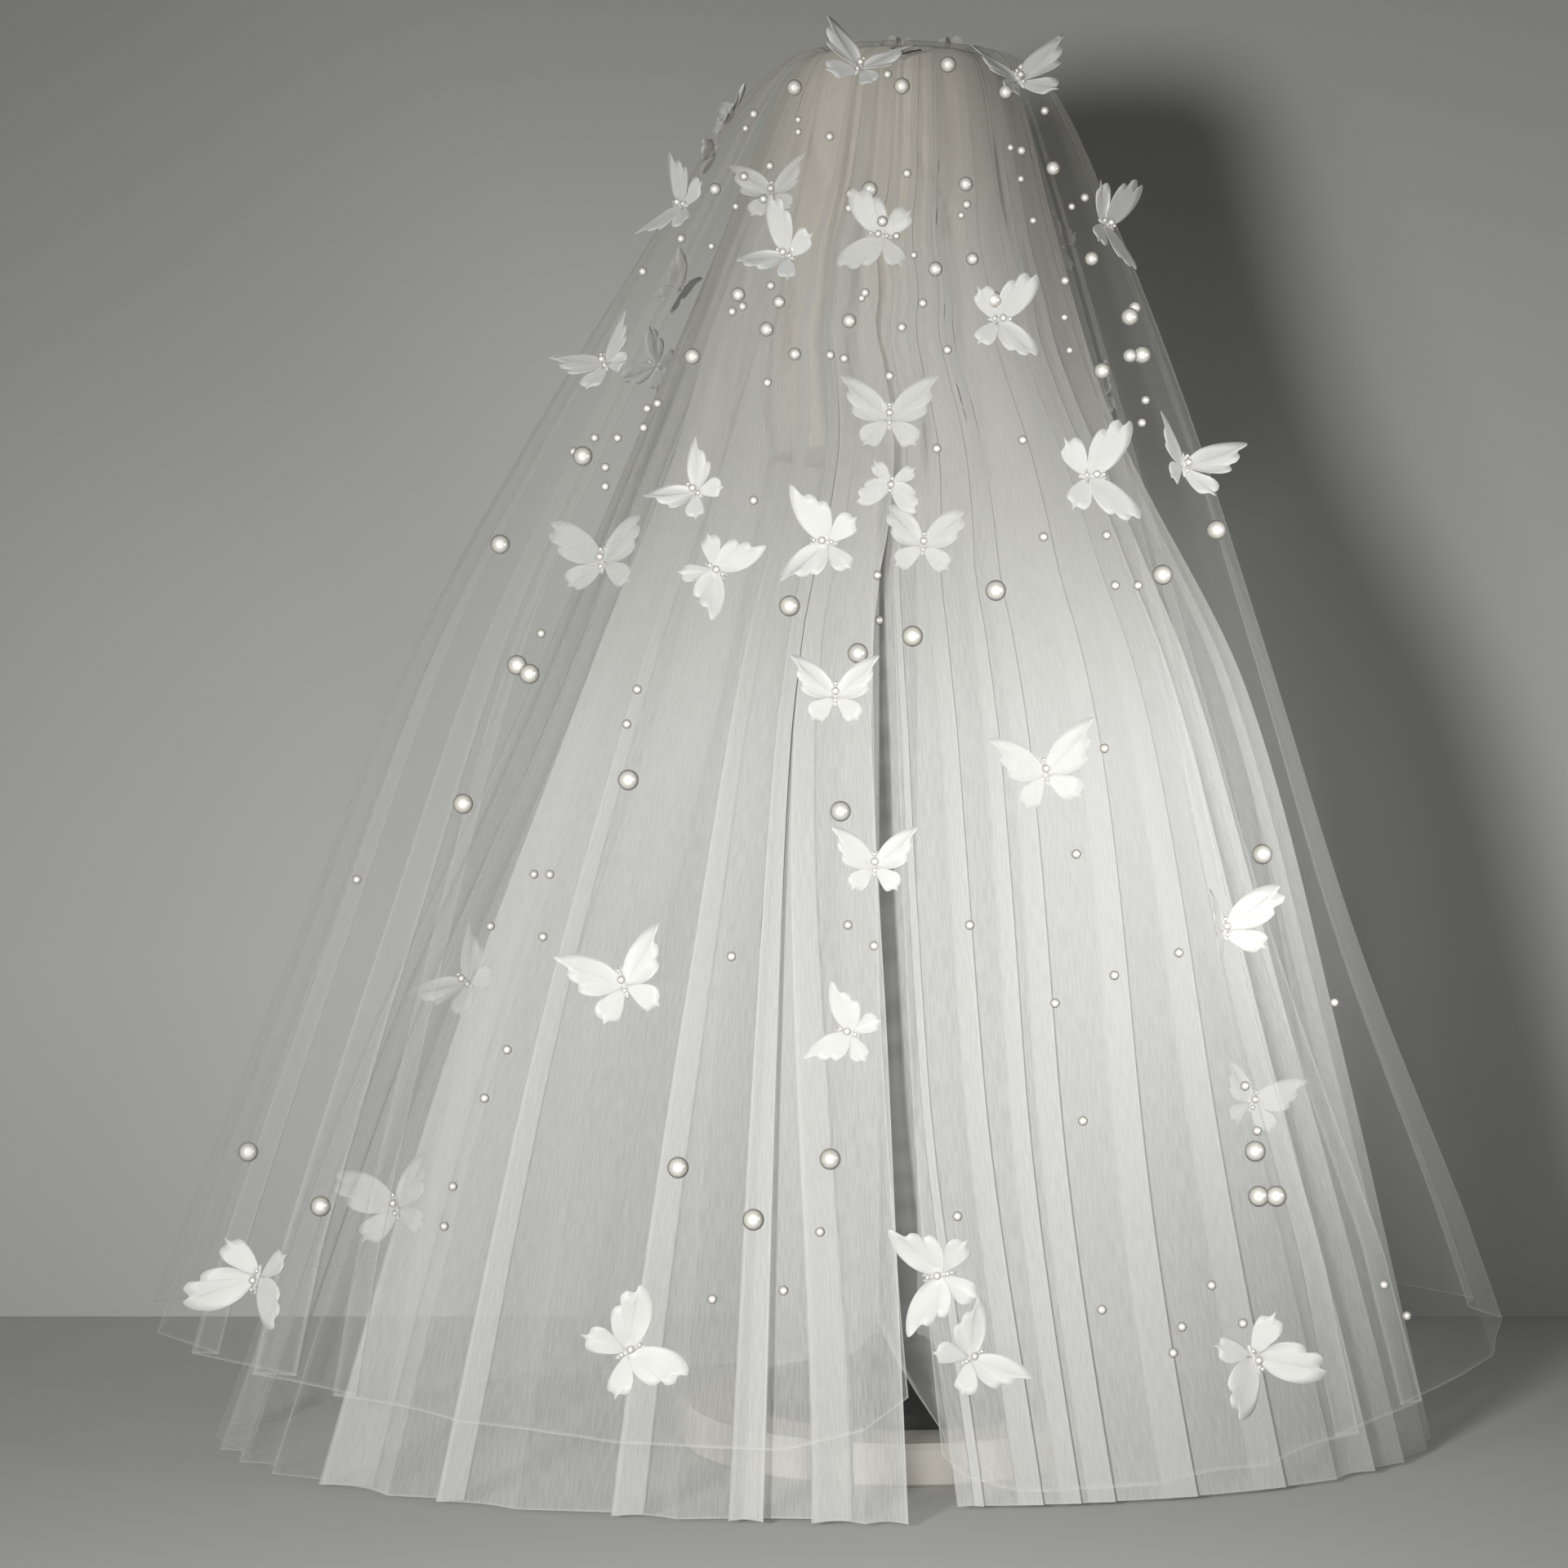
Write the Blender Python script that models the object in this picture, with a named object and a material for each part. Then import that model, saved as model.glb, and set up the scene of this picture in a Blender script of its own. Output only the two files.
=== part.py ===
"""A two-tier bridal veil of gathered tulle with cloth butterflies, on its display stand.

Metres, +Z up. The origin is the centre of the stand's foot, on the table. The veil opens
towards -Y, -X is called left and +X right. Angles run round the veil from the left edge of
the front opening (0), over the left side (90) and the back (180), to its right edge (360).
"""

import math
from collections import namedtuple

import bpy
from mathutils import Matrix, Vector
from mathutils.bvhtree import BVHTree

MM = 0.001
FULL_TURN = 360.0
SEAM_GAP = 0.3 * MM
CLOTH_WALL = 1.2 * MM

# ---- The stand: a cream foot, a charcoal weight and pole, and a padded round block ----

FOOT_RADIUS = 125 * MM
FOOT_HEIGHT = 23 * MM
FOOT_ROUNDING = 3 * MM
WEIGHT_RADIUS = 88 * MM
WEIGHT_RIM = 8 * MM
WEIGHT_HEIGHT = 34 * MM
POLE_RADIUS = 11 * MM
BLOCK_BOTTOM = 558 * MM
STAND_SIDES = 32

# radius and height of the block's outline, crown to underside, in mm
BLOCK_PROFILE = (
    (0.0, 794.0),
    (35.0, 793.5),
    (48.0, 791.0),
    (56.0, 786.0),
    (62.0, 777.0),
    (64.5, 765.0),
    (66.5, 742.0),
    (70.0, 713.0),
    (73.0, 668.0),
    (79.0, 620.0),
    (80.0, 590.0),
    (72.0, 567.0),
    (14.0, 558.0),
)

# ---- The comb under the gathers ----

COMB_HALF = 36 * MM
COMB_TEETH = 10
COMB_WIRE = 1.6 * MM
COMB_SEAT = 0.5 * MM  # over the crown's outline, because the block's facets lie a little inside it
COMB_FRONT = -3.5 * MM
COMB_TOOTH_ROWS = (4 * MM, 10 * MM, 16 * MM)

# ---- The gathered heading that stands up over the comb ----

HEADING_HALF = 37 * MM
HEADING_WAVES = 8
HEADING_STEPS_PER_WAVE = 5
HEADING_BOTTOM = 796.5 * MM
HEADING_TOP = 807 * MM
HEADING_UNEVEN = 3 * MM
HEADING_BOTTOM_SWAY = 0.7 * MM
HEADING_MIDDLE_SWAY = 1.9 * MM
HEADING_TOP_SWAY = 5 * MM

# ---- The two tiers ----

# A level of a tier, in mm: its height, how far its crests reach to each side, in front
# left and right of the opening, and behind, and where the opening's two edges are.
Level = namedtuple("Level", "height left right front_left front_right back edge_left edge_right")

LONG_LEVELS = (
    Level(797.5, 45.5, 45.5, 4, 4, 4, -1, 1),
    Level(795, 56, 56, 45, 45, 45, -2, 1),
    Level(785, 66, 66, 60, 60, 60, -4, -1),
    Level(768, 75, 74, 69, 69, 69, -6, -3),
    Level(713, 96, 86, 80, 79, 79, -9, -6),
    Level(600, 143, 109, 104, 98, 102, -14, -11),
    Level(430, 215, 205, 144, 132, 142, -20, -10),
    Level(231, 307, 254, 186, 164, 186, -12, -3),
    Level(3, 393, 306, 217, 181, 218, -3, 24),
)
SHORT_LEVELS = (
    Level(799.2, 46, 46, 4, 4, 4, -1.5, 1.5),
    Level(797.5, 58, 62, 45, 45, 45, -3, 2),
    Level(789, 74, 80, 63, 63, 63, -5, 0),
    Level(770, 94, 95, 82, 82, 82, -7, -3),
    Level(713, 132, 121, 103, 102, 104, -10, -6),
    Level(591, 208, 168, 139, 136, 142, -14, -10),
    Level(454, 283, 212, 177, 172, 180, -20, -8),
    Level(290, 348, 263, 210, 205, 212, -18, -4),
    Level(133, 410, 325, 232, 228, 236, -9, 5),
    Level(78, 431, 347, 241, 236, 246, -4, 13),
)

# The angle and the depth in mm of each fold's crest, at the hem
Fold = namedtuple("Fold", "angle depth")

LONG_LEFT_FOLDS = (
    Fold(0, 10), Fold(4, 12), Fold(8, 16), Fold(14, 20), Fold(19, 14), Fold(24, 22), Fold(29, 16),
    Fold(34, 24), Fold(40, 22), Fold(45, 14), Fold(49, 18), Fold(54, 26), Fold(61, 20),
    Fold(69, 26), Fold(78, 20), Fold(88, 24),
)
LONG_RIGHT_FOLDS = (
    Fold(276, 22), Fold(286, 24), Fold(296, 18), Fold(306, 24), Fold(314, 22), Fold(320, 20),
    Fold(326, 18), Fold(331, 20), Fold(336, 14), Fold(340, 18), Fold(344, 12), Fold(348, 16),
    Fold(352, 12), Fold(356, 12), Fold(360, 10),
)
SHORT_LEFT_FOLDS = (
    Fold(0, 7), Fold(9, 9), Fold(20, 14), Fold(32, 12), Fold(44, 16), Fold(56, 20), Fold(72, 16),
    Fold(90, 18),
)
SHORT_RIGHT_FOLDS = (
    Fold(274, 18), Fold(290, 16), Fold(304, 18), Fold(317, 14), Fold(329, 16), Fold(340, 12),
    Fold(350, 9), Fold(360, 7),
)
LONG_BACK_SPACING = 9.4
SHORT_BACK_SPACING = 15.3
SPACING_SWING = 0.28
BACK_FOLD_DEPTH = 20.0
DEPTH_SWING = 6.0

# Height of the short tier's hem round the veil: angle, height in mm
SHORT_HEM = (
    (0, 72), (3, 54), (8, 45), (14, 44), (25, 47.6), (50, 62.7), (70, 71), (90, 78), (180, 76),
    (270, 73), (295, 62), (310, 51), (320, 39), (330, 29), (345, 22), (354, 23), (358, 30),
    (360, 42),
)

FOLD_GROWTH = 0.8
SHOULDER = 0.866  # a fold is this share of its depth at a third of the way to its neighbour

# ---- The butterflies ----

# Where the viewer stands from whom the butterflies are set out: each one lies on the line
# from this eye through its place in the upright plane of the pole.
EYE = Vector((-0.066, -1.7475, 0.378))
FAR_SIDE = 4.0

# the tier and its side, place across and up in mm in the plane of the pole, span in mm, turn
# in degrees, and how far the wings are raised, as a slope
Butterfly = namedtuple("Butterfly", "tier side across up span turn lift")

BUTTERFLIES = (
    Butterfly("short", "front", -22, 793, 50, -13, 0.45),
    Butterfly("short", "front", 70, 785, 52, -8, 0.50),
    Butterfly("short", "front", -124, 712, 50, 75, 0.40),
    Butterfly("short", "front", -65, 684, 42, 60, 0.90),
    Butterfly("short", "front", -170, 622, 50, 42, 0.40),
    Butterfly("short", "front", 118, 701, 52, -100, 0.45),
    Butterfly("short", "front", 59, 647, 46, -90, 0.40),
    Butterfly("short", "front", 110, 555, 58, -86, 0.35),
    Butterfly("short", "front", 161, 560, 52, -27, 0.45),
    Butterfly("short", "front", -116, 546, 42, 50, 0.40),
    Butterfly("short", "front", -169, 505, 52, 10, 0.35),
    Butterfly("short", "front", -105, 501, 48, -125, 0.45),
    Butterfly("short", "front", -42, 517, 50, 84, 0.40),
    Butterfly("short", "front", -36, 429, 46, 0, 0.40),
    Butterfly("short", "front", -13.5, 331, 44, 0, 0.45),
    Butterfly("short", "front", 186, 293, 44, 0, 1.20),
    Butterfly("short", "front", -157, 262, 56, 20, 0.35),
    Butterfly("short", "front", -28, 234, 42, 70, 0.40),
    Butterfly("short", "front", -370, 92, 54, 175, 0.40),
    Butterfly("short", "front", -155, 50, 56, -60, 0.35),
    Butterfly("short", "front", 24, 94, 54, 100, 0.40),
    Butterfly("long", "front", 42, 47, 50, -57, 0.35),
    Butterfly("short", "front", 204, 46, 54, -156, 0.40),
    Butterfly("short", "back", -96, 764, 34, 20, 0.18),
    Butterfly("long", "front", -72, 720, 44, 10, 0.20),
    Butterfly("long", "front", -10, 696, 48, 80, 0.20),
    Butterfly("short", "back", 92, 690, 40, -60, 0.18),
    Butterfly("short", "back", -126, 664, 42, 30, 0.25),
    Butterfly("short", "back", -140, 620, 40, -70, 0.25),
    Butterfly("long", "front", -5, 588, 54, 0, 0.25),
    Butterfly("long", "front", 14, 515, 46, -5, 0.25),
    Butterfly("short", "back", 115, 602, 40, -20, 0.18),
    Butterfly("long", "front", 82, 383, 56, 10, 0.30),
    Butterfly("long", "front", -245, 262, 52, 60, 0.30),
    Butterfly("long", "front", -283, 132, 54, 20, 0.30),
    Butterfly("long", "front", 203, 194, 44, -20, 0.30),
    Butterfly("long", "front", -4, 549, 36, 170, 0.25),
    Butterfly("short", "back", -106, 742, 36, -30, 0.18),
)

# half of a butterfly's outline in half spans, from its head round the right wings to its tail
WING_OUTLINE = (
    (0.00, 0.12),
    (0.52, 0.58),
    (0.98, 0.84),
    (0.92, 0.44),
    (0.64, 0.12),
    (0.26, -0.02),
    (0.60, -0.16),
    (0.66, -0.50),
    (0.40, -0.78),
    (0.14, -0.36),
    (0.00, -0.24),
)
WING_WALL = 1.0 * MM
WING_MIDDLE = (0.0, -0.05, 0.06)
PROBE_STEPS = 8  # points tried along each rib of a wing when it is set down on the cloth

# ---- Materials: name, colour, roughness, metallic ----

MATERIALS = {
    "tulle": ((0.86, 0.86, 0.84), 0.7, 0.0),
    "satin": ((0.93, 0.93, 0.91), 0.45, 0.0),
    "comb_wire": ((0.05, 0.05, 0.05), 0.35, 1.0),
    "cream_foot": ((0.72, 0.69, 0.62), 0.5, 0.0),
    "charcoal_metal": ((0.06, 0.06, 0.055), 0.5, 0.6),
    "beige_cloth": ((0.62, 0.57, 0.49), 0.85, 0.0),
}


def clear_scene():
    for thing in list(bpy.data.objects):
        bpy.data.objects.remove(thing, do_unlink=True)


def make_materials():
    made = {}
    for name, (colour, roughness, metallic) in MATERIALS.items():
        material = bpy.data.materials.new(name)
        material.use_nodes = True
        surface = material.node_tree.nodes["Principled BSDF"]
        surface.inputs["Base Color"].default_value = (*colour, 1.0)
        surface.inputs["Roughness"].default_value = roughness
        surface.inputs["Metallic"].default_value = metallic
        made[name] = material
    return made


def add_object(name, points, faces, material, smooth=True):
    mesh = bpy.data.meshes.new(name)
    mesh.from_pydata([tuple(point) for point in points], [], faces)
    mesh.materials.append(material)
    if smooth:
        mesh.shade_smooth()
        mesh.set_sharp_from_angle(angle=math.radians(40))
    thing = bpy.data.objects.new(name, mesh)
    bpy.context.scene.collection.objects.link(thing)
    return thing


def add_wall(thing, thickness):
    """Gives a sheet its thickness, on the side that its faces look away from."""
    wall = thing.modifiers.new("wall", "SOLIDIFY")
    wall.thickness = thickness
    wall.offset = -1.0
    wall.use_even_offset = True


def grid_faces(columns, rows):
    """Quads over points that are listed column by column."""
    return [
        (i * rows + j, i * rows + j + 1, (i + 1) * rows + j + 1, (i + 1) * rows + j)
        for i in range(columns - 1)
        for j in range(rows - 1)
    ]


# ---- The stand ----


def turned(name, profile, material):
    """A solid of revolution from (radius, height) points, top to bottom, closed on the axis."""
    points = []
    rings = []
    for radius, height in profile:
        if radius == 0:
            rings.append([len(points)])
            points.append((0.0, 0.0, height))
            continue
        rings.append(list(range(len(points), len(points) + STAND_SIDES)))
        for k in range(STAND_SIDES):
            turn = math.tau * k / STAND_SIDES
            points.append((radius * math.cos(turn), radius * math.sin(turn), height))
    faces = []
    for upper, lower in zip(rings, rings[1:]):
        for k in range(STAND_SIDES):
            after = (k + 1) % STAND_SIDES
            if len(upper) == 1:
                faces.append((upper[0], lower[k], lower[after]))
            elif len(lower) == 1:
                faces.append((upper[k], lower[0], upper[after]))
            else:
                faces.append((upper[k], lower[k], lower[after], upper[after]))
    if len(rings[0]) > 1:
        faces.append(tuple(rings[0]))
    if len(rings[-1]) > 1:
        faces.append(tuple(reversed(rings[-1])))
    return add_object(name, points, faces, material)


def crown_height(radius):
    """Height of the block's top at this distance from the axis."""
    outline = [(r * MM, z * MM) for r, z in BLOCK_PROFILE]
    for (r0, z0), (r1, z1) in zip(outline, outline[1:]):
        if r0 <= radius <= r1:
            return z0 + (z1 - z0) * (radius - r0) / (r1 - r0)
    raise ValueError("no crown at this radius")


def make_stand(materials):
    foot_top = FOOT_HEIGHT
    turned(
        "stand_foot",
        (
            (FOOT_RADIUS - FOOT_ROUNDING, foot_top),
            (FOOT_RADIUS, foot_top - FOOT_ROUNDING),
            (FOOT_RADIUS, FOOT_ROUNDING / 2),
            (FOOT_RADIUS - FOOT_ROUNDING / 2, 0.0),
        ),
        materials["cream_foot"],
    )
    weight_bottom = foot_top + SEAM_GAP
    weight_top = weight_bottom + WEIGHT_HEIGHT
    turned(
        "stand_weight",
        (
            (POLE_RADIUS * 1.6, weight_top),
            (POLE_RADIUS * 2.2, weight_top - 0.25 * WEIGHT_HEIGHT),
            (WEIGHT_RADIUS * 0.6, weight_top - 0.6 * WEIGHT_HEIGHT),
            (WEIGHT_RADIUS, weight_bottom + WEIGHT_RIM),
            (WEIGHT_RADIUS, weight_bottom),
        ),
        materials["charcoal_metal"],
    )
    turned(
        "stand_pole",
        (
            (POLE_RADIUS, BLOCK_BOTTOM - SEAM_GAP),
            (POLE_RADIUS, weight_top + SEAM_GAP),
        ),
        materials["charcoal_metal"],
    )
    turned(
        "stand_block",
        [(radius * MM, height * MM) for radius, height in BLOCK_PROFILE],
        materials["beige_cloth"],
    )


# ---- The comb and the heading ----


def make_comb(material):
    """A bar with teeth that lies on the block's crown, bent to it."""
    cells = 2 * COMB_TEETH - 1
    across = [COMB_HALF * (2 * k / cells - 1) for k in range(cells + 1)]
    back = (COMB_FRONT, *COMB_TOOTH_ROWS)
    points = []
    for x in across:
        for y in back:
            points.append((x, y, crown_height(math.hypot(x, y)) + COMB_SEAT + COMB_WIRE))
    rows = len(back)
    faces = []
    for i, j in ((i, j) for i in range(cells) for j in range(rows - 1)):
        if j == 0 or i % 2 == 0:
            corner = i * rows + j
            faces.append((corner, corner + rows, corner + rows + 1, corner + 1))
    used = sorted({index for face in faces for index in face})
    place = {index: k for k, index in enumerate(used)}
    faces = [tuple(place[index] for index in face) for face in faces]
    comb = add_object("comb", [points[index] for index in used], faces, material)
    add_wall(comb, COMB_WIRE)


def make_heading(material):
    """The ruffled edge of the tulle that stands up over the comb."""
    steps = HEADING_WAVES * HEADING_STEPS_PER_WAVE
    middle = (HEADING_BOTTOM + HEADING_TOP) / 2
    points = []
    for k in range(steps + 1):
        share = k / steps
        x = HEADING_HALF * (2 * share - 1)
        wave = math.sin(math.tau * HEADING_WAVES * share)
        top = HEADING_TOP + HEADING_UNEVEN * math.sin(2.3 * math.tau * share + 0.8)
        for z, sway in (
            (HEADING_BOTTOM, HEADING_BOTTOM_SWAY),
            (middle, HEADING_MIDDLE_SWAY),
            (top, HEADING_TOP_SWAY),
        ):
            points.append((x, sway * wave + CLOTH_WALL / 2, z))
    heading = add_object("heading_ruffle", points, grid_faces(steps + 1, 3), material)
    add_wall(heading, CLOTH_WALL)


# ---- The tiers ----


def back_folds(first, last, spacing):
    """Crests across the back, unevenly spaced, between two given angles."""
    count = round((last - first) / spacing)
    folds = []
    for k in range(1, count):
        swing = SPACING_SWING * math.sin(2.1 * k + spacing)
        angle = first + (last - first) * (k + swing) / count
        folds.append(Fold(angle, BACK_FOLD_DEPTH + DEPTH_SWING * math.sin(1.7 * k + 0.5)))
    return tuple(folds)


def tier_columns(folds):
    """The angle and the depth in mm of each column of points: a crest, then its two shoulders."""
    columns = []
    for fold, after in zip(folds, folds[1:]):
        shoulder = SHOULDER * (fold.depth + after.depth) / 2
        gap = after.angle - fold.angle
        columns.append((fold.angle, 0.0))
        columns.append((fold.angle + gap / 3, shoulder))
        columns.append((fold.angle + 2 * gap / 3, shoulder))
    columns.append((folds[-1].angle, 0.0))
    return columns


def read_table(table, key):
    """Straight-line reading of a table of (key, value) rows."""
    for (key0, value0), (key1, value1) in zip(table, table[1:]):
        if key0 <= key <= key1:
            return value0 + (value1 - value0) * (key - key0) / (key1 - key0)
    raise ValueError("outside the table")


def tier_point(level, angle, depth):
    """The point of a level at this angle, this many mm inside the crests."""
    on_left = angle <= FULL_TURN / 2
    side = level.left if on_left else level.right
    edge = -level.edge_left if on_left else level.edge_right
    from_front = angle if on_left else FULL_TURN - angle
    start = math.degrees(math.asin(edge / side))
    turn = math.radians(start + (180 - start) * from_front / 180)
    if math.cos(turn) > 0:
        fore = level.front_left if on_left else level.front_right
    else:
        fore = level.back
    x = side * math.sin(turn)
    y = -fore * math.cos(turn)
    outward = Vector((x / side**2, y / fore**2)).normalized()
    x -= depth * outward.x
    y -= depth * outward.y
    return Vector((-x if on_left else x, y, level.height)) * MM


def make_tier(name, levels, folds, hem, material):
    """A gathered sheet from its ring of gathers down to its hem. Its folds grow downward."""
    top = levels[0].height
    drop = top - levels[-1].height
    points = []
    columns = tier_columns(folds)
    for angle, depth in columns:
        for level in levels:
            growth = ((top - level.height) / drop) ** FOLD_GROWTH
            point = tier_point(level, angle, depth * growth)
            if hem and level is levels[-1]:
                point.z = read_table(hem, angle) * MM
            points.append(point)
    tier = add_object(name, points, grid_faces(len(columns), len(levels)), material)
    add_wall(tier, CLOTH_WALL)
    return tier


# ---- The butterflies ----


def cloth_tree(tier):
    """A search tree over a tier's finished wall."""
    bpy.context.view_layer.update()
    return BVHTree.FromObject(tier, bpy.context.evaluated_depsgraph_get())


def wing_points(row):
    """A butterfly's upper skin in its own XY plane, head to +Y: its outline, then its middle."""
    half = row.span * MM / 2
    right = [Vector((x, y, x * row.lift)) for x, y in WING_OUTLINE]
    left = [Vector((-p.x, p.y, p.z)) for p in reversed(right[1:-1])]
    return [point * half for point in [*right, *left, Vector(WING_MIDDLE)]]


def wing_faces(count):
    """Two skins of count points, each a fan round its last point, and the rim between them."""
    middle = count - 1
    faces = []
    for k in range(middle):
        after = (k + 1) % middle
        faces.append((middle, after, k))
        faces.append((middle + count, k + count, after + count))
        faces.append((k, after, after + count, k + count))
    return faces


def set_down(points, outward, tree):
    """How far to move these points along outward so that the nearest one is a seam gap off."""
    reach = 60 * MM
    lowest = None
    for point in points:
        hit = tree.ray_cast(point + outward * reach, -outward, 2 * reach)[0]
        if hit is None:
            continue
        height = (point - hit).dot(outward)
        lowest = height if lowest is None else min(lowest, height)
    return SEAM_GAP - lowest


def probes(skin):
    """Points all over a skin, along ribs from its middle to its outline."""
    *outline, middle = skin
    rim = list(outline)
    for point, after in zip(outline, outline[1:] + outline[:1]):
        rim += [point.lerp(after, 1 / 3), point.lerp(after, 2 / 3)]
    return [middle.lerp(point, k / PROBE_STEPS) for point in rim for k in range(PROBE_STEPS + 1)]


def smooth_outward(above, below, hit):
    """The outward direction of a tier, its folds ignored, at a point between two levels."""
    side = "left" if hit.x < 0 else "right"
    fore = "back" if hit.y > 0 else f"front_{side}"
    reach_x = getattr(below, side) * MM
    reach_y = getattr(below, fore) * MM
    plan = Vector((hit.x / reach_x**2, hit.y / reach_y**2, 0)).normalized()
    fall = (above.height - below.height) * MM
    grow_x = reach_x - getattr(above, side) * MM
    grow_y = reach_y - getattr(above, fore) * MM
    spread = math.hypot(grow_x * plan.x, grow_y * plan.y)
    return Vector((plan.x * fall, plan.y * fall, spread)).normalized()


def make_butterfly(name, row, levels, tree, material):
    target = Vector((row.across * MM, 0, row.up * MM))
    sight = (target - EYE).normalized()
    if row.side == "front":
        hit = tree.ray_cast(EYE, sight)[0]
    else:
        hit = tree.ray_cast(EYE + sight * FAR_SIDE, -sight)[0]
    if hit is None:
        raise ValueError(name + " misses the cloth")
    below = next((k for k, level in enumerate(levels) if level.height * MM < hit.z), len(levels) - 1)
    outward = smooth_outward(levels[below - 1], levels[below], hit)
    across = Vector((0, 0, 1)).cross(outward).normalized()
    upward = outward.cross(across)
    turn = Matrix.Rotation(math.radians(row.turn), 3, "Z")
    frame = Matrix((across, upward, outward)).transposed() @ turn
    upper = [hit + frame @ point for point in wing_points(row)]
    lower = [point - outward * WING_WALL * math.hypot(1, row.lift) for point in upper]
    shift = outward * set_down(probes(lower), outward, tree)
    placed = [point + shift for point in upper + lower]
    faces = wing_faces(len(upper))
    while BVHTree.FromPolygons(placed, faces).overlap(tree):
        placed = [point + outward * SEAM_GAP for point in placed]
    add_object(name, placed, faces, material, smooth=False)


def main():
    clear_scene()
    materials = make_materials()
    make_stand(materials)
    make_comb(materials["comb_wire"])
    make_heading(materials["tulle"])
    long_folds = LONG_LEFT_FOLDS + back_folds(88, 276, LONG_BACK_SPACING) + LONG_RIGHT_FOLDS
    short_folds = SHORT_LEFT_FOLDS + back_folds(90, 274, SHORT_BACK_SPACING) + SHORT_RIGHT_FOLDS
    tulle = materials["tulle"]
    long_tier = make_tier("long_tier", LONG_LEVELS, long_folds, None, tulle)
    short_tier = make_tier("short_tier", SHORT_LEVELS, short_folds, SHORT_HEM, tulle)
    carriers = {
        "long": (LONG_LEVELS, cloth_tree(long_tier)),
        "short": (SHORT_LEVELS, cloth_tree(short_tier)),
    }
    for number, row in enumerate(BUTTERFLIES, 1):
        levels, tree = carriers[row.tier]
        make_butterfly(f"butterfly_{number:02d}", row, levels, tree, materials["satin"])


main()
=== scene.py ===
"""A two-tier bridal veil of gathered tulle with cloth butterflies and pearls, on its stand.

+Z is up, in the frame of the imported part. The scene is in metres and the tables of the cloth
are in mm. Angles are degrees round the veil from the left edge of the front opening (0), over
the left side (90) and the back (180), to its right edge (360).
"""

import math
from collections import namedtuple

import bpy
import numpy as np
from mathutils import Matrix, Vector
from mathutils.bvhtree import BVHTree


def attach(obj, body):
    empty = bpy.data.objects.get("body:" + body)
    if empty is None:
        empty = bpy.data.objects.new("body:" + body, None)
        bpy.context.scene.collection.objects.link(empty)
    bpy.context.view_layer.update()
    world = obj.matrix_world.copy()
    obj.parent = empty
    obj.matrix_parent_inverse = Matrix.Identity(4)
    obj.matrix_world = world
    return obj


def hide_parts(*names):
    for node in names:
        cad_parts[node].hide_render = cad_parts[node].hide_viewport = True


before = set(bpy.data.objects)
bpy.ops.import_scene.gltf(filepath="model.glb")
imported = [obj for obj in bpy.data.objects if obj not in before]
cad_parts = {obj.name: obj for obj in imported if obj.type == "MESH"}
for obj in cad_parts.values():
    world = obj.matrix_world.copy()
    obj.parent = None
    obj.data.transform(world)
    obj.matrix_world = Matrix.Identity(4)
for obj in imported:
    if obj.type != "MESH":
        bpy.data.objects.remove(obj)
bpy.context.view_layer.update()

MM = 0.001
FULL_TURN = 360.0
BODY = "root"


def rows_of(kind, *rows):
    """A table's rows as named tuples."""
    return tuple(kind(*row) for row in rows)


# ---- Camera, lights and backdrop ----

CAMERA_AT = Vector((-0.066, -1.7475, 0.378))
CAMERA_LENS = 69.375
CAMERA_SENSOR = 36.0

FLOOR_HALF = 3.0
FLOOR_PAINT = ((0.62, 0.62, 0.605), (0.66, 0.66, 0.645))
WALL_Y = 0.398
WALL_HALF = 1.6
WALL_HEIGHT = 1.9
# The wall's low colour is its paint, its high colour a darker painted shade overhead
WALL_PAINT_AND_SHADE = ((0.57, 0.575, 0.555), (0.36, 0.365, 0.345))
PAINTED_SHADE_HEIGHTS = (0.25, 1.0)  # where the paint starts to go over into the painted shade overhead, and where that shade is full
SQUARE = ((-1, -1), (1, -1), (1, 1), (-1, 1))

# A round lamp: its size is in metres, its spread in degrees and its power in watts
AreaLight = namedtuple("AreaLight", "name at aim size spread power colour")
LIGHTS = rows_of(
    AreaLight,
    ("key", (-0.68, -1.60, 0.48), (0.75, 0.4, 0.28), 0.28, 120, 12.2, (1.0, 1.0, 0.975)),
    ("side_fill", (0.85, -0.55, 0.45), (0.12, -0.02, 0.38), 0.35, 50, 0.62, (1.0, 1.0, 0.98)),
    ("low_fill", (0.02, -0.60, 0.34), (0.02, -0.30, 0.0), 0.25, 150, 0.22, (1.0, 1.0, 0.98)),
)
WORLD_GREY = (0.110, 0.112, 0.107)

RENDER_SETTINGS = {
    "transparent_max_bounces": 24, "max_bounces": 2, "diffuse_bounces": 1, "glossy_bounces": 1,
    "transmission_bounces": 1, "use_adaptive_sampling": True, "adaptive_threshold": 0.04,
    "adaptive_min_samples": 16,
}

# ---- The tiers, as their solids have them ----

Level = namedtuple("Level", "height left right front_left front_right back edge_left edge_right")

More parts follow.
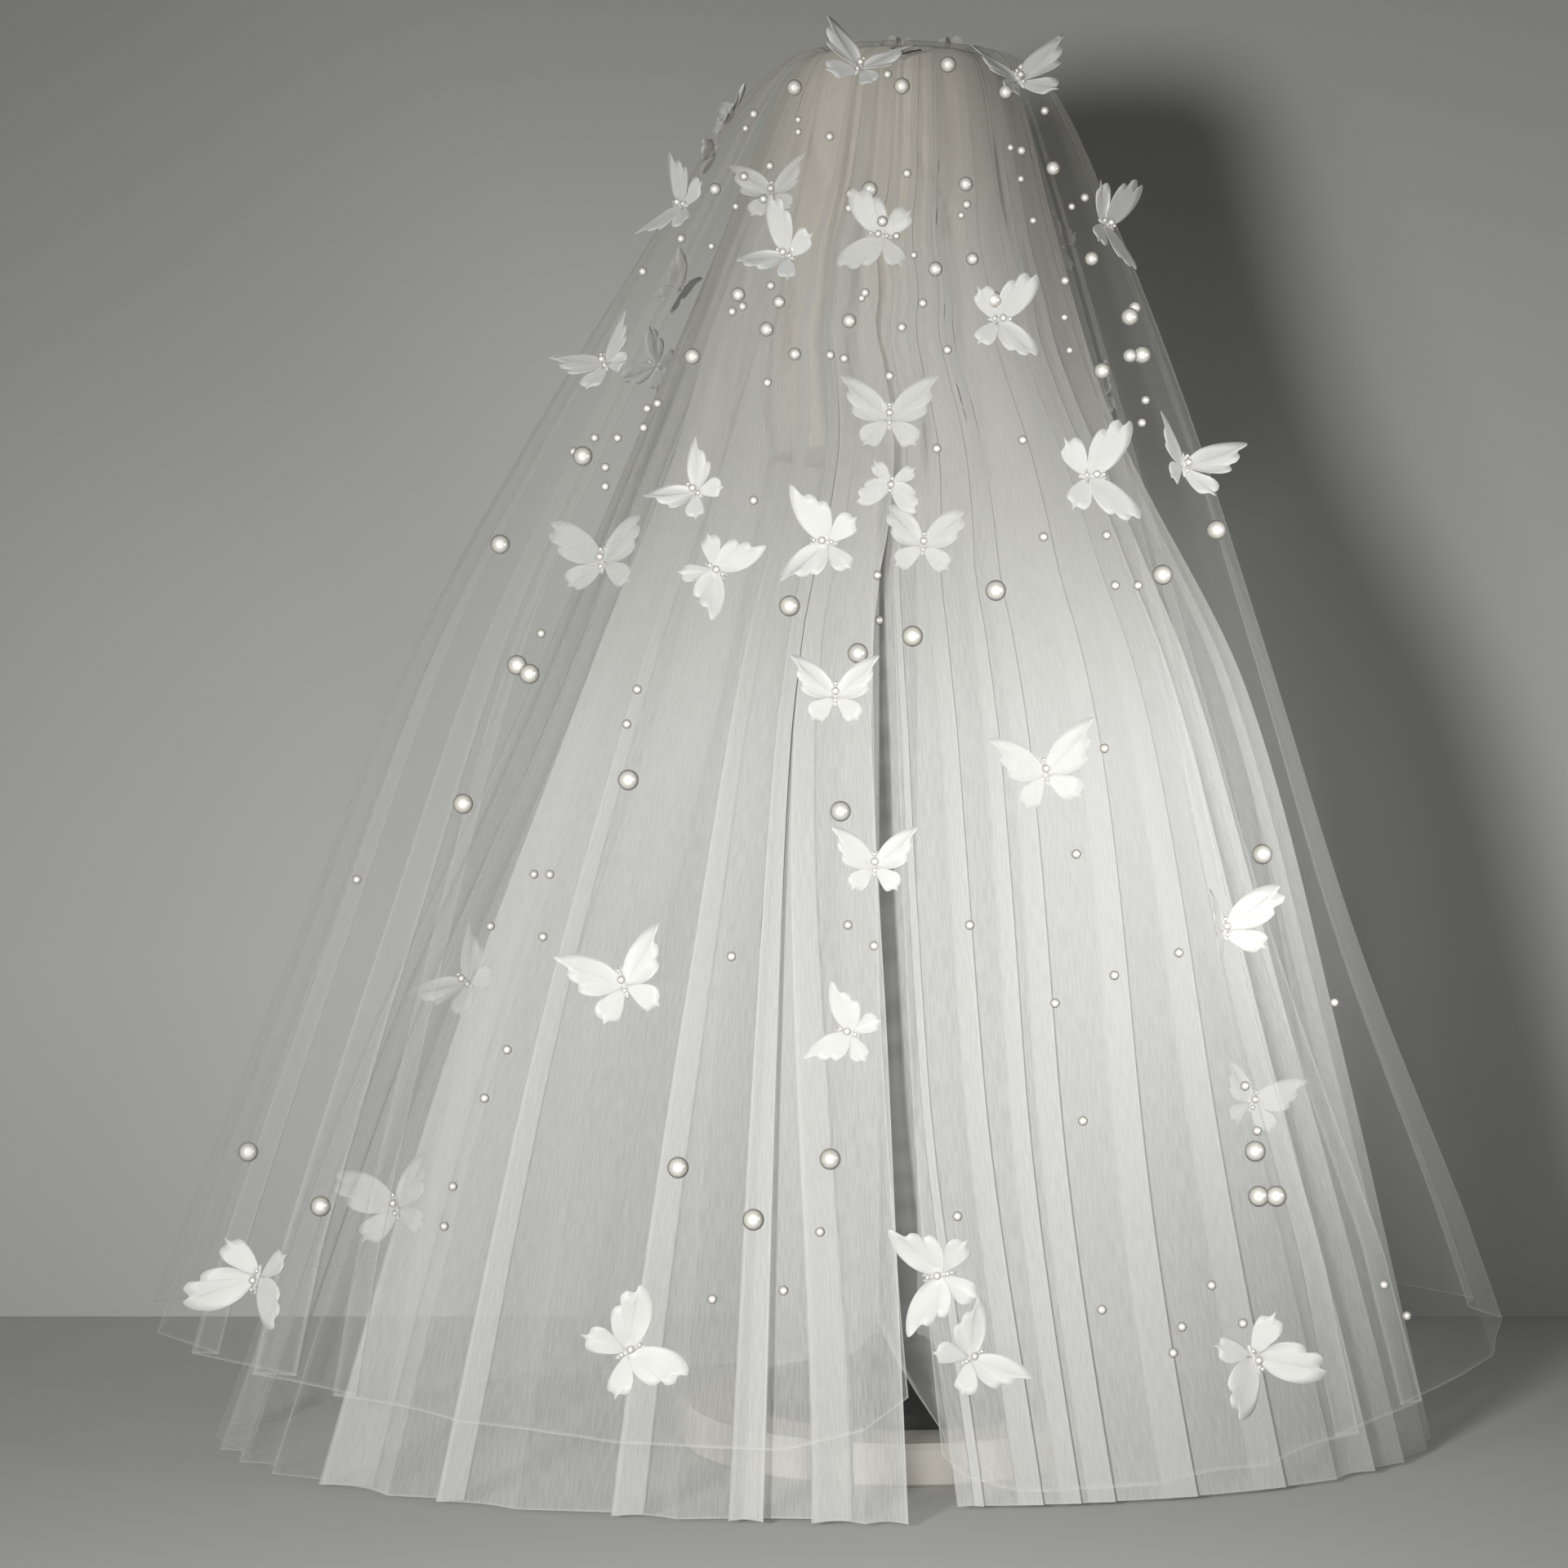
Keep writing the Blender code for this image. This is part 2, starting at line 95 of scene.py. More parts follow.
LONG_LEVELS = rows_of(
    Level,
    (797.5, 45.5, 45.5, 4, 4, 4, -1, 1),
    (795, 56, 56, 45, 45, 45, -2, 1),
    (785, 66, 66, 60, 60, 60, -4, -1),
    (768, 75, 74, 69, 69, 69, -6, -3),
    (713, 96, 88, 80, 79, 79, -9, -6),
    (600, 143, 122, 104, 98, 102, -14, -11),
    (430, 215, 203, 144, 132, 142, -20, -10),
    (231, 307, 254, 186, 164, 186, -12, -3),
    (3, 393, 306, 217, 181, 218, -3, 24),
)
SHORT_LEVELS = rows_of(
    Level,
    (799.2, 46, 46, 4, 4, 4, -1.5, 1.5),
    (797.5, 58, 62, 45, 45, 45, -3, 2),
    (789, 74, 80, 63, 63, 63, -5, 0),
    (770, 94, 95, 82, 82, 82, -7, -3),
    (713, 132, 121, 103, 102, 104, -10, -6),
    (591, 208, 168, 139, 136, 142, -14, -10),
    (454, 283, 212, 177, 172, 180, -20, -8),
    (290, 348, 263, 210, 205, 212, -18, -4),
    (133, 410, 325, 232, 228, 236, -9, 5),
    (78, 431, 347, 241, 236, 246, -4, 13),
)

# A fold: its crest's angle and its depth at the hem, how many degrees the cloth turns back under
# it (towards the opening's left edge if positive), how many degrees its crest lies further round
# from half height up, how sharply it is pressed, and how full the net is from it to the next
Fold = namedtuple("Fold", "angle depth overlap drift press layers", defaults=(0, 0, 0, 1))

LONG_LEFT_FOLDS = rows_of(
    Fold, (0, 8, 0, 0, 1, 1.5), (3.2, 4, 0, 1.5, 0.2, 1.5), (7.2, 9, 3.2, 4.0, 0.8, 1.5),
    (10.8, 7, -2.6, 0.5, 0.6), (13.5, 8, 2.2, 0, 0.7, 0.95), (17.5, 3, 0, 0, 0, 0.95),
    (22.8, 9, 2.5, -2.2, 0.7, 0.95), (31, 2, 0, 0, 0, 0.95), (38.8, 9, 2.2, 0.5, 0.9, 0.95),
    (44, 3, 0, 0, 0, 0.95), (53, 14, 5.4, -0.8, 1, 0.18), (61, 10, 0, -1, 0.4, 0.18),
    (69, 16, 0, -1, 0.6, 0.18), (78, 12, 2.5, 0, 0.5, 0.18), (87, 16, 0, 0, 0.4, 0.2),
)
LONG_RIGHT_FOLDS = rows_of(
    Fold, (277, 14, 0, 2, 0.5, 0.5), (287, 10, -3, 4, 0.5, 0.5), (298, 8, -3, 7, 0.6),
    (306, 8, -3.5, 4.5, 0.8, 1.3), (314, 4, 0, 0.5, 0.5, 1.6), (322.2, 2.2, -4.5, -4.0, 0.7, 2.1),
    (334, 1.8, -4.0, -6, 0.5, 2.7), (343.5, 2.2, -3.0, -4, 0.4, 2.3),
    (347.2, 1.8, -2.2, -3.2, 0.5, 2.7), (351.2, 2.2, -2.6, -1, 0.6, 2.0),
    (357.3, 2, -1.0, 0, 0.5, 1.7), (360, 3, 0, 0, 1, 0.7),
)
# The right edge turns in behind the opening: degrees past the edge, and depth at the hem
TURNED_IN = ((0.3, 1.5), (0.9, 7), (1.8, 16), (3.0, 23), (4.4, 26), (5.6, 27), (6.6, 27.5))
TURNED_IN_ROUND = (0.035, 0.115)  # metres up, where its rounded corner starts and ends
CORNER_CURVE = 0.6
# The long tier's opening above its knee: height, middle and width. It shuts and wanders.
OPENING = (
    (797.5, 0, 2), (770, -4, 0.5), (713, -8, 0.4), (690, -12, 0.5), (672, -14, 3.2),
    (650, -12.5, 3.6), (628, -15, 2.8), (610, -12, 0.5), (560, -6, 0.4), (520, -9, 0.5),
    (490, -13.5, 2.5), (460, -15, 7),
)
OPENING_BLEND = 60  # how far below those rows the opening passes into the levels' edges
SHORT_LEFT_FOLDS = rows_of(
    Fold, (0, 6, 0, 0, 1), (9, 5), (20, 8, 0, 0, 0.1), (32, 7), (44, 10, 1.5, 2, 0.5),
    (53.8, 16, 3.5, -2, 1), (64, 12, 2, 0, 0.7), (74, 12, 0, 0, 0.6), (90, 14, 0, 0, 0.3),
)
SHORT_RIGHT_FOLDS = rows_of(
    Fold, (274, 7, 0, 0, 0.3), (292, 4, 0, 0, 0.3), (309.8, 7, -2, 2.5, 1), (319.2, 9, -2, -3, 0.6),
    (330, 10, 0, 0, 0.2), (341, 8, 0, 0, 0.1), (351, 6), (360, 6, 0, 0, 1),
)
# Soft folds pressed into the upper front of the long tier: where each starts and ends, across
# and up, its half width and depth, and how much thinner the net is in it
Dent = namedtuple("Dent", "across up to_across to_up width depth thin")
DENTS = rows_of(
    Dent, (18, 716, 27, 680, 2.5, 3, 0.55), (3, 752, 12, 712, 2.5, 2, 0.4),
    (56, 740, 63, 688, 3, 2.5, 0.5), (-52, 742, -46, 704, 3, 2.5, 0.45),
    (-27, 752, -34, 706, 5, 2, 0.3), (11, 608, 11, 548, 2, 2.5, 0.55),
    (-63, 660, -67, 606, 2.5, 3, 0.55), (39, 610, 47, 535, 3, 2, 0.3),
    (-32, 625, -33, 552, 3, 2, 0.4), (-112, 716, -122, 640, 9, 2, 0.4),
    (78, 705, 104, 605, 13, 0, 0.3), (-90, 690, -100, 590, 4, 2, 0.3),
    (28, 668, 33, 600, 3, 2, 0.35), (-22, 690, -30, 640, 3.5, 2, 0.35),
)
# The shares of a dent's way over which it sets in, and over which it fades
DENT_START = (-0.2, 0.3)
DENT_END = (0.7, 1.2)

# The folds of a back, between its sides' last ones, and how full their net is by angle
Back = namedtuple("Back", "first last spacing fullness")
LONG_BACK = Back(88, 276, 9.4, ((88, 0.25), (120, 0.3), (150, 0.8), (235, 0.9), (276, 0.6)))
SHORT_BACK = Back(90, 274, 15.3, ((90, 1), (274, 1)))
SPACING_SWING = 0.28
BACK_FOLD_DEPTH = 20.0
DEPTH_SWING = 6.0
BACK_OVERLAP = 2.4
BACK_PRESS = 0.3

SHORT_HEM = (
    (0, 72), (3, 54), (8, 45), (14, 44), (25, 47.6), (50, 62.7), (70, 71), (90, 78), (180, 76),
    (270, 73), (295, 62), (310, 51), (320, 39), (330, 29), (345, 22), (354, 23), (358, 30),
    (360, 42),
)
FOLD_GROWTH = 1.35
DRIFT_RISE = 0.46  # metres over the hem from which a crest has drifted all its way

# Columns of points under a crest, where the cloth turns back, and on the panel after it, as
# shares of the way
TURN_SHARES = (0.0, 0.05, 0.15, 0.32, 0.55, 0.8)
PANEL_SHARES = (0.06, 0.13, 0.22, 0.32, 0.43, 0.55, 0.66, 0.76, 0.85, 0.93)
TURN_ROUNDING = 0.7
UNDER_CREST = 0.1  # the share of the way back that is still pressed a little
UNDER_PRESS = 0.3
PRESSED_WIDTH = 0.14  # degrees on each side of a crest that are pressed
PRESSED_START = 0.7
PRESSED_FALL = 0.4
PLAIN_SAG = 0.9  # how far a panel sags between its crests' depths, plain or next to a turn
TURNED_SAG = 0.15

TIER_ROWS = 64
ROW_CROWDING = 1.45
HEM_LINE = 1.3  # between the last row and the cut edge
EDGE_CREASE = 0.6  # how strongly a cut edge shows
EDGE_SOFTENS = (0.45, 0.55)  # metres up, where the opening's edges start and end to soften
OUTWARD_RISE = 0.35

# Gathers below the ring and ripples at mid height: how many go round, how far and how often
# they sway there, and how they slope with the height
Waves = namedtuple("Waves", "count sway sways slope")
GATHERS = Waves(61, 3.5, 7, 0.0)
RIPPLES = Waves(12, 2.5, 5, 0.004)
FINE_RIPPLES = Waves(21, 3.0, 3, -0.006)
GATHER_FADES = 11  # how often round the tier they fade
RIPPLE_FADES = 4
GATHER_DEPTH = 0.4
GATHER_FADE = (0.69, 0.79)
RING_BLEND = 3
RIPPLE_DEPTH = 1.3
RIPPLE_MIDDLE = 640
RIPPLE_REACH = 190

# How closely the net is gathered: its limits, over how many columns on each side it is
# averaged, and the share of the height below the ring in which a fold's own fullness sets in
GATHERED_LIMITS = (0.7, 1.7)
LEAST_STEP = 0.05 * MM
GATHERED_REACH = 4
FULLNESS_RISE = 0.35
LEAST_FULL = 0.2

# ---- The net ----

NET_WHITE = (0.90, 0.90, 0.885)
LONG_COVER = 0.38  # how much of what lies behind it one flat layer hides
SHORT_COVER = 0.035
HEADING_COVER = 0.3
NET_STREAKS = (950.0, 85.0, 1.0)  # in a metre across and along the cloth
STREAK_FULLNESS = (0.84, 1.12)
LEAST_SLANT = 0.16
PRESSED_LINE = 0.6  # the optical depth that a pressed crease or a cut edge adds
THROUGH_SHARE = 0.42  # how much of the net's own light comes through its threads
ONWARD_SHARE = 0.25  # how much less the net shades what lies behind it than it hides it
NET_SPREAD = 1.6  # how far the net's shading keeps to the cloth's broad form
# The heights in metres between which the net takes a grey painted shade, and then a darker painted
# shade in the block's beige tint
UPPER_SHADE_HEIGHTS = (0.38, 0.56)
CROWN_SHADE_HEIGHTS = (0.60, 0.77)
UPPER_PAINTED_SHADE = (0.711, 0.7065, 0.677025)
CROWN_PAINTED_SHADE_BEIGE = (0.693, 0.666, 0.606225)

# A tier: its piece and node, and the tables above that shape it. The seed is for its waves.
Tier = namedtuple(
    "Tier", "name node levels left_folds back right_folds turned_in hem opening dents seed"
)
LONG_TIER = Tier(
    "long_tulle", "long_tier", LONG_LEVELS, LONG_LEFT_FOLDS, LONG_BACK, LONG_RIGHT_FOLDS,
    TURNED_IN, None, OPENING, DENTS, 3,
)
SHORT_TIER = Tier(
    "short_tulle", "short_tier", SHORT_LEVELS, SHORT_LEFT_FOLDS, SHORT_BACK, SHORT_RIGHT_FOLDS,
    (), SHORT_HEM, None, (), 5,
)

# ---- The butterflies, as their solids have them ----

# A butterfly: its place across and up in the plane of the pole, its span, how many degrees it
# is turned, how steeply its wings rise, and the tier and side that it is sewn to
Butterfly = namedtuple("Butterfly", "across up span turn lift tier side", defaults=("short", "front"))

BUTTERFLIES = rows_of(
    Butterfly,
    (-22, 793, 50, -13, 0.45), (70, 785, 52, -8, 0.50), (-124, 712, 50, 75, 0.40),
    (-65, 684, 42, 60, 0.90), (-170, 622, 50, 42, 0.40), (118, 701, 52, -100, 0.45),
    (59, 647, 46, -90, 0.40), (110, 555, 58, -86, 0.35), (161, 560, 52, -27, 0.45),
    (-116, 546, 42, 50, 0.40), (-169, 505, 52, 10, 0.35), (-105, 501, 48, -125, 0.45),
    (-42, 517, 50, 84, 0.40), (-36, 429, 46, 0, 0.40), (-13.5, 331, 44, 0, 0.45),
    (186, 293, 44, 0, 1.20), (-157, 262, 56, 20, 0.35), (-28, 234, 42, 70, 0.40),
    (-370, 92, 54, 175, 0.40), (-155, 50, 56, -60, 0.35), (24, 94, 54, 100, 0.40),
    (42, 47, 50, -57, 0.35, "long"), (204, 46, 54, -156, 0.40),
    (-96, 764, 34, 20, 0.18, "short", "back"),
    (-72, 720, 44, 10, 0.20, "long"), (-10, 696, 48, 80, 0.20, "long"),
    (92, 690, 40, -60, 0.18, "short", "back"),
    (-126, 664, 42, 30, 0.25, "short", "back"), (-140, 620, 40, -70, 0.25, "short", "back"),
    (-5, 588, 54, 0, 0.25, "long"),
    (14, 515, 46, -5, 0.25, "long"), (115, 602, 40, -20, 0.18, "short", "back"),
    (82, 383, 56, 10, 0.30, "long"),
    (-245, 262, 52, 60, 0.30, "long"), (-283, 132, 54, 20, 0.30, "long"),
    (203, 194, 44, -20, 0.30, "long"),
    (-4, 549, 36, 170, 0.25, "long"), (-106, 742, 36, -30, 0.18, "short", "back"),
)

# Outlines of a right forewing and hindwing in hundredths of a half span, from the body outward,
# round the tip and back to the body
SWALLOW_FORE = (
    (3, 14), (12, 34), (28, 54), (50, 70), (74, 80), (97, 83), (97, 74), (82, 54), (86, 42),
    (82, 28), (74, 20), (76, 6), (60, -7), (34, -12), (5, -5),
)
SWALLOW_HIND = (
    (5, -4), (32, -14), (50, -20), (60, -31), (60, -45), (53, -54), (54, -63), (42, -60), (28, -64),
    (18, -52), (9, -32), (3, -14),
)
PETAL_FORE = (
    (3, 12), (10, 38), (26, 62), (50, 82), (76, 88), (90, 80), (83, 66), (92, 54), (88, 38),
    (77, 32), (78, 17), (64, 2), (38, -8), (5, -4),
)
PETAL_HIND = (
    (5, -4), (36, -10), (58, -20), (67, -36), (60, -50), (66, -61), (54, -58), (43, -66), (30, -60),
    (16, -42), (3, -14),
)
WING_STEPS = 5
WING_RINGS = 5
WING_ROOT = Vector((0.04, 0.0))
WING_WAVE = 0.012
WING_WALL = 0.25 * MM
WING_TURN = 0.8  # how far a wing that points away from the front is lifted towards it
LIFT_UNEVEN = (0.85, 1.1)
LIFT_LIMITS = (0.08, 1.3)
HIND_LIFT = 0.85
HIND_CURL = 0.06
FORE_CURL = 0.09
FORE_OVER_HIND = Vector((0, 0, 0.02))
# The trunk's parts from tail to feelers: centre and radii in half spans
TRUNK = (
    ((0, -0.10, 0.06), (0.045, 0.20, 0.045)),
    ((0, 0.08, 0.075), (0.055, 0.10, 0.055)),
    ((0, 0.20, 0.075), (0.045, 0.05, 0.045)),
    ((-0.05, 0.27, 0.075), (0.016, 0.055, 0.014)),
    ((0.05, 0.27, 0.075), (0.016, 0.055, 0.014)),
)
# The pearls sewn on it: along and over the trunk in half spans, and radius
TRUNK_PEARLS = ((0.06, 0.17, 2.1), (-0.14, 0.13, 1.3), (0.24, 0.14, 1.2))
# Which of the butterflies have the rounder petal wings, and which are cut from sheer organza
PETAL_WINGED = (4, 6, 7, 8, 11, 16, 19, 20, 23, 26, 27, 29, 31, 35, 37)
SHEER = (11, 34, 35, 36)
HALF_SHEER = (25, 26, 30, 31, 33)

FAR_SIDE = 4.0
SEAM_GAP = 0.3 * MM
SEAM_REACH = 0.06  # how far over and under a butterfly the cloth is looked for, in metres

# ---- The heading ruffle, as its solid has it, and the end of the comb's wire ----

HEADING_HALF = 37.0
HEADING_WAVES = 8
HEADING_WAVE_COLUMNS = 22
HEADING_COLUMNS = HEADING_WAVES * HEADING_WAVE_COLUMNS + 1
HEADING_ROWS = 14
HEADING_MIDDLE_Y = 0.5
HEADING_BOTTOM = 796.5
HEADING_TOP = 807.0
HEADING_UNEVEN = 3.0
HEADING_FINE_UNEVEN = 0.6
HEADING_FRILL = 0.35
HEADING_LEAN = 0.6
HEADING_SWAY = ((0.0, 0.7), (0.5, 1.9), (1.0, 5.0))
HEADING_GATHERED = 3.0
HEADING_LOOSENS = 1.6
HEADING_OUTWARD = (0.0, -1.0, 0.3)

# Where the wire shows at the crown: across and up
WIRE_PATH = (
    (-4.0, 803.5), (1.7, 802.9), (0.2, 799.5), (-3.6, 798.4), (-4.4, 802.0), (1.7, 800.3),
    (6.9, 801.4), (13.2, 802.6),
)
WIRE_RADIUS = 0.45 * MM
WIRE_LIFT = 2.0 * MM
WIRE_BESIDE = 9.0  # across, where the cloth is whole

# ---- The pearls ----

# A pearl: its place across and up in the plane of the pole, and its diameter
Pearl = namedtuple("Pearl", "across up size", defaults=(5,))
LARGEST_PLAIN_PEARL = 8
PLAIN_PEARL = (14, 9)  # turns and rings
FINE_PEARL = (20, 14)
TRUNK_PEARL = (12, 8)

OUTER_PEARLS = rows_of(
    Pearl, (28, 790, 9), (2, 779, 9), (-58, 778, 9), (60, 776, 8), (21, 674, 8), (54, 656, 9),
    (-28, 644, 8), (-117, 623, 9), (115, 615, 9), (137, 624, 10), (130, 646, 10), (-179, 565, 11),
    (-226, 514, 11), (179, 523, 11), (55, 488, 11), (-62, 479, 11), (8, 462, 11), (-217, 445, 11),
    (-210, 440, 11), (-154, 379, 11), (-248, 365, 11), (206, 336, 11), (-371, 164, 11),
    (-330, 133, 11), (-126, 156, 11), (-83, 126, 11), (205, 139, 11), (215, 139, 11),
    (203, 165, 11), (149, 497, 11), (-82, 764), (-39, 751), (-4, 754, 7), (87, 732, 8), (70, 743),
    (-104, 720, 7), (38, 723, 8), (39, 712), (106, 716), (117, 716), (42, 680, 7), (5, 730),
    (-73, 734), (-77, 715), (-124, 692), (-146, 673), (-91, 659, 8), (-89, 653), (-95, 650),
    (-73, 665), (-68, 655, 7), (-75, 639, 8), (-59, 625, 7), (-39, 625), (-31, 623), (-19, 661),
    (14, 655), (28, 628), (-5, 613), (2, 641), (-75, 609), (-186, 569), (-174, 577), (-161, 577),
    (-168, 560), (-168, 549), (-138, 597), (-144, 594), (-146, 583), (-83, 541), (71, 576),
    (22, 571), (119, 521), (83, 520), (141, 599), (139, 586), (124, 492), (137, 492), (-205, 464),
    (-150, 432), (-156, 412), (-311, 322), (-96, 278), (41, 296), (161, 280), (250, 251),
    (118, 398), (102, 337), (-225, 224), (-238, 196), (-45, 119), (-66, 85), (-107, 80), (34, 128),
    (180, 88), (279, 88), (292, 70), (163, 64), (198, 66), (158, 49), (117, 74), (199, 203),
    (206, 177), (106, 183), (124, 267), (90, 251), (-6, 787), (70, 791, 4), (-87, 756, 4),
    (-57, 761, 4), (-57, 754, 4), (83, 766), (64, 745, 4), (70, 727, 4), (36, 706, 4), (77, 703, 4),
    (-9, 702, 6), (-1, 694, 4), (9, 683, 4), (-88, 728), (-93, 711, 4), (-60, 686), (-107, 688, 4),
    (-21, 658, 4), (95, 647, 4), (98, 628, 4), (99, 711, 4), (95, 668), (109, 680, 8),
    (131, 624, 8), (134, 652, 7),
)
INNER_PEARLS = rows_of(
    Pearl, (-16, 720, 9), (-23, 452, 11), (-33, 361, 11), (-39, 161, 11), (-28, 710), (-27, 718, 6),
    (-12, 498), (-11, 472), (-234, 295), (-204, 289), (-209, 325), (-200, 325), (-29, 296),
    (-14, 284), (-256, 145), (-261, 122),
)


# ---- Small helpers ----


def smooth_reading(keys, values, at):
    """A smooth reading of a table without overshoot. keys fall or rise all the way."""
    keys = np.asarray(keys, float)
    values = np.asarray(values, float)
    at = np.asarray(at, float)
    if keys[0] > keys[-1]:
        keys, values = keys[::-1], values[::-1]
    gap = np.diff(keys)
    slope = np.diff(values) / gap
    tangent = np.zeros(len(keys))
    tangent[0] = slope[0]
    tangent[-1] = slope[-1]
    for k in range(1, len(keys) - 1):
        if slope[k - 1] * slope[k] > 0:
            tangent[k] = 2 / (1 / slope[k - 1] + 1 / slope[k])
    at = np.clip(at, keys[0], keys[-1])
    k = np.clip(np.searchsorted(keys, at, side="right") - 1, 0, len(gap) - 1)
    t = (at - keys[k]) / gap[k]
    return (
        (1 + 2 * t) * (1 - t) ** 2 * values[k]
        + t * (1 - t) ** 2 * gap[k] * tangent[k]
        + t * t * (3 - 2 * t) * values[k + 1]
        + t * t * (t - 1) * gap[k] * tangent[k + 1]
    )


def ease(low, high, at):
    """0 below low, 1 above high, smooth between them."""
    t = np.clip((np.asarray(at, float) - low) / (high - low), 0, 1)
    return t * t * (3 - 2 * t)


def add_thing(name, data):
    thing = bpy.data.objects.new(name, data)
    bpy.context.scene.collection.objects.link(thing)
    return thing


def add_mesh(name, points, faces, material):
    mesh = bpy.data.meshes.new(name)
    mesh.from_pydata([tuple(point) for point in points], [], faces)
    mesh.materials.append(material)
    mesh.shade_smooth()
    return add_thing(name, mesh)


def grid_faces(columns, rows):
    return [
        (i * rows + j, i * rows + j + 1, (i + 1) * rows + j + 1, (i + 1) * rows + j)
        for i in range(columns - 1)
        for j in range(rows - 1)
    ]


def steps(grid, axis):
    """How far each point of a grid is from the next along one of the grid's axes."""
    return np.linalg.norm(np.diff(grid, axis=axis), axis=2)


def search_tree(thing):
    mesh = thing.data
    return BVHTree.FromPolygons([v.co for v in mesh.vertices], [p.vertices for p in mesh.polygons])


def line_hit(tree, across, up, side):
    """Where the line of sight through a place in the plane of the pole meets the cloth."""
    sight = (Vector((across * MM, 0, up * MM)) - CAMERA_AT).normalized()
    if side == "front":
        return tree.ray_cast(CAMERA_AT, sight)[0]
    return tree.ray_cast(CAMERA_AT + sight * FAR_SIDE, -sight)[0]


# ---- Materials ----


class Nodes:
    """Makes and links a material's nodes."""

    def __init__(self, name):
        self.material = bpy.data.materials.new(name)
        self.material.use_nodes = True
        self.tree = self.material.node_tree
        self.surface = self.tree.nodes["Principled BSDF"]

    def fill(self, node, inputs):
        """Give inputs, by name or number, a value or another node's output."""
        for key, value in inputs.items():
            if isinstance(value, bpy.types.NodeSocket):
                self.tree.links.new(value, node.inputs[key])
            else:
                node.inputs[key].default_value = value

    def add(self, kind, inputs=None, **settings):
        node = self.tree.nodes.new("ShaderNode" + kind)
        for key, value in settings.items():
            setattr(node, key, value)
        self.fill(node, inputs or {})
        return node

    def attribute(self, name, output="Fac"):
        return self.add("Attribute", attribute_name=name).outputs[output]

    def place(self):
        return self.add("TexCoord").outputs["Object"]

    def axes(self, place):
        return self.add("SeparateXYZ", {0: place}).outputs

    def facing(self):
        return self.add("LayerWeight", {"Blend": 0.5}).outputs["Facing"]

    def maths(self, operation, first, second=0.0, clamp=False):
        inputs = {0: first, 1: second}
        return self.add("Math", inputs, operation=operation, use_clamp=clamp).outputs[0]

    def vector(self, operation, first, second=(0.0, 0.0, 0.0)):
        node = self.add("VectorMath", {0: first, 1: second}, operation=operation)
        return node.outputs["Value" if operation == "DOT_PRODUCT" else "Vector"]

    def noise(self, vector, scale, detail=2.0, roughness=0.5, dimensions="3D"):
        inputs = {"Vector": vector, "Scale": scale, "Detail": detail, "Roughness": roughness}
        return self.add("TexNoise", inputs, noise_dimensions=dimensions).outputs["Fac"]

    def ramp(self, value, low, high, bottom=0.0, top=1.0):
        inputs = dict(enumerate((value, low, high, bottom, top)))
        return self.add("MapRange", inputs).outputs[0]

    def mixed(self, share, first, second):
        """A colour between two, each of them plain or another node's output."""
        first, second = ((*c, 1.0) if isinstance(c, tuple) else c for c in (first, second))
        inputs = {"Factor": share, "A": first, "B": second}
        return self.add("Mix", inputs, data_type="RGBA").outputs["Result"]

    def bump(self, height, strength, distance):
        inputs = {"Height": height, "Strength": strength, "Distance": distance}
        return self.add("Bump", inputs).outputs[0]

    def translucent(self, **inputs):
        return self.add("BsdfTranslucent", inputs).outputs[0]

    def clear(self):
        return self.add("BsdfTransparent").outputs[0]

    def blend(self, share, first, second):
        """A shader between two."""
        return self.add("MixShader", {0: share, 1: first, 2: second}).outputs[0]

    def showing(self, shader):
        """The material with this shader in the place of its plain surface."""
        self.fill(self.tree.nodes["Material Output"], {"Surface": shader})
        return self.material


def tulle(name, cover):
    """Sheer net. The cloth's attributes say how closely it is gathered and where it is creased."""
    make = Nodes(name)
    place = make.add("UVMap", uv_map="cloth").outputs[0]
    streaks = make.noise(make.vector("MULTIPLY", place, NET_STREAKS), 1.0, 0.0, 0.6, "2D")
    fullness = make.ramp(streaks, 0.3, 0.7, *STREAK_FULLNESS)
    # a net covers more where it is gathered and where it is seen along its face
    slant = make.maths("MAXIMUM", make.maths("SUBTRACT", 1.0, make.facing()), LEAST_SLANT)
    fullness = make.maths("MULTIPLY", fullness, make.attribute("gathered"))
    pressed = -PRESSED_LINE / math.log(1.0 - cover)
    pressed = make.maths("MULTIPLY", make.attribute("crease"), pressed)
    layers = make.maths("ADD", make.maths("DIVIDE", fullness, slant), pressed)
    opacity = make.maths("SUBTRACT", 1.0, make.maths("POWER", 1.0 - cover, layers), clamp=True)
    # the net scatters light onward
    shading = make.add("LightPath").outputs["Is Shadow Ray"]
    onward = make.maths("SUBTRACT", 1.0, make.maths("MULTIPLY", shading, ONWARD_SHARE))
    opacity = make.maths("MULTIPLY", opacity, onward)
    # painted shade: the net darkens to grey higher up, and to a beige-tinted shade at the crown
    shade = make.mixed(make.attribute("upper"), NET_WHITE, UPPER_PAINTED_SHADE)
    shade = make.mixed(make.attribute("crown"), shade, CROWN_PAINTED_SHADE_BEIGE)
    # light spreads in the net, so a fold's sides are lit much as the cloth round them
    own = make.add("NewGeometry").outputs["Normal"]
    outward = make.attribute("outward", "Vector")
    same_side = make.maths("SIGN", make.vector("DOT_PRODUCT", own, outward))
    lean = make.add("VectorMath", operation="SCALE")
    make.fill(lean, {0: outward, "Scale": make.maths("MULTIPLY", same_side, NET_SPREAD)})
    soft = make.vector("NORMALIZE", make.vector("ADD", own, lean.outputs[0]))
    make.fill(make.surface, {
        "Base Color": shade, "Roughness": 0.8, "Specular IOR Level": 0.25,
        "Sheen Weight": 0.25, "Sheen Roughness": 0.4, "Normal": soft,
    })
    through = make.translucent(Color=shade, Normal=soft)
    net = make.blend(THROUGH_SHARE, make.surface.outputs[0], through)
    return make.showing(make.blend(opacity, make.clear(), net))


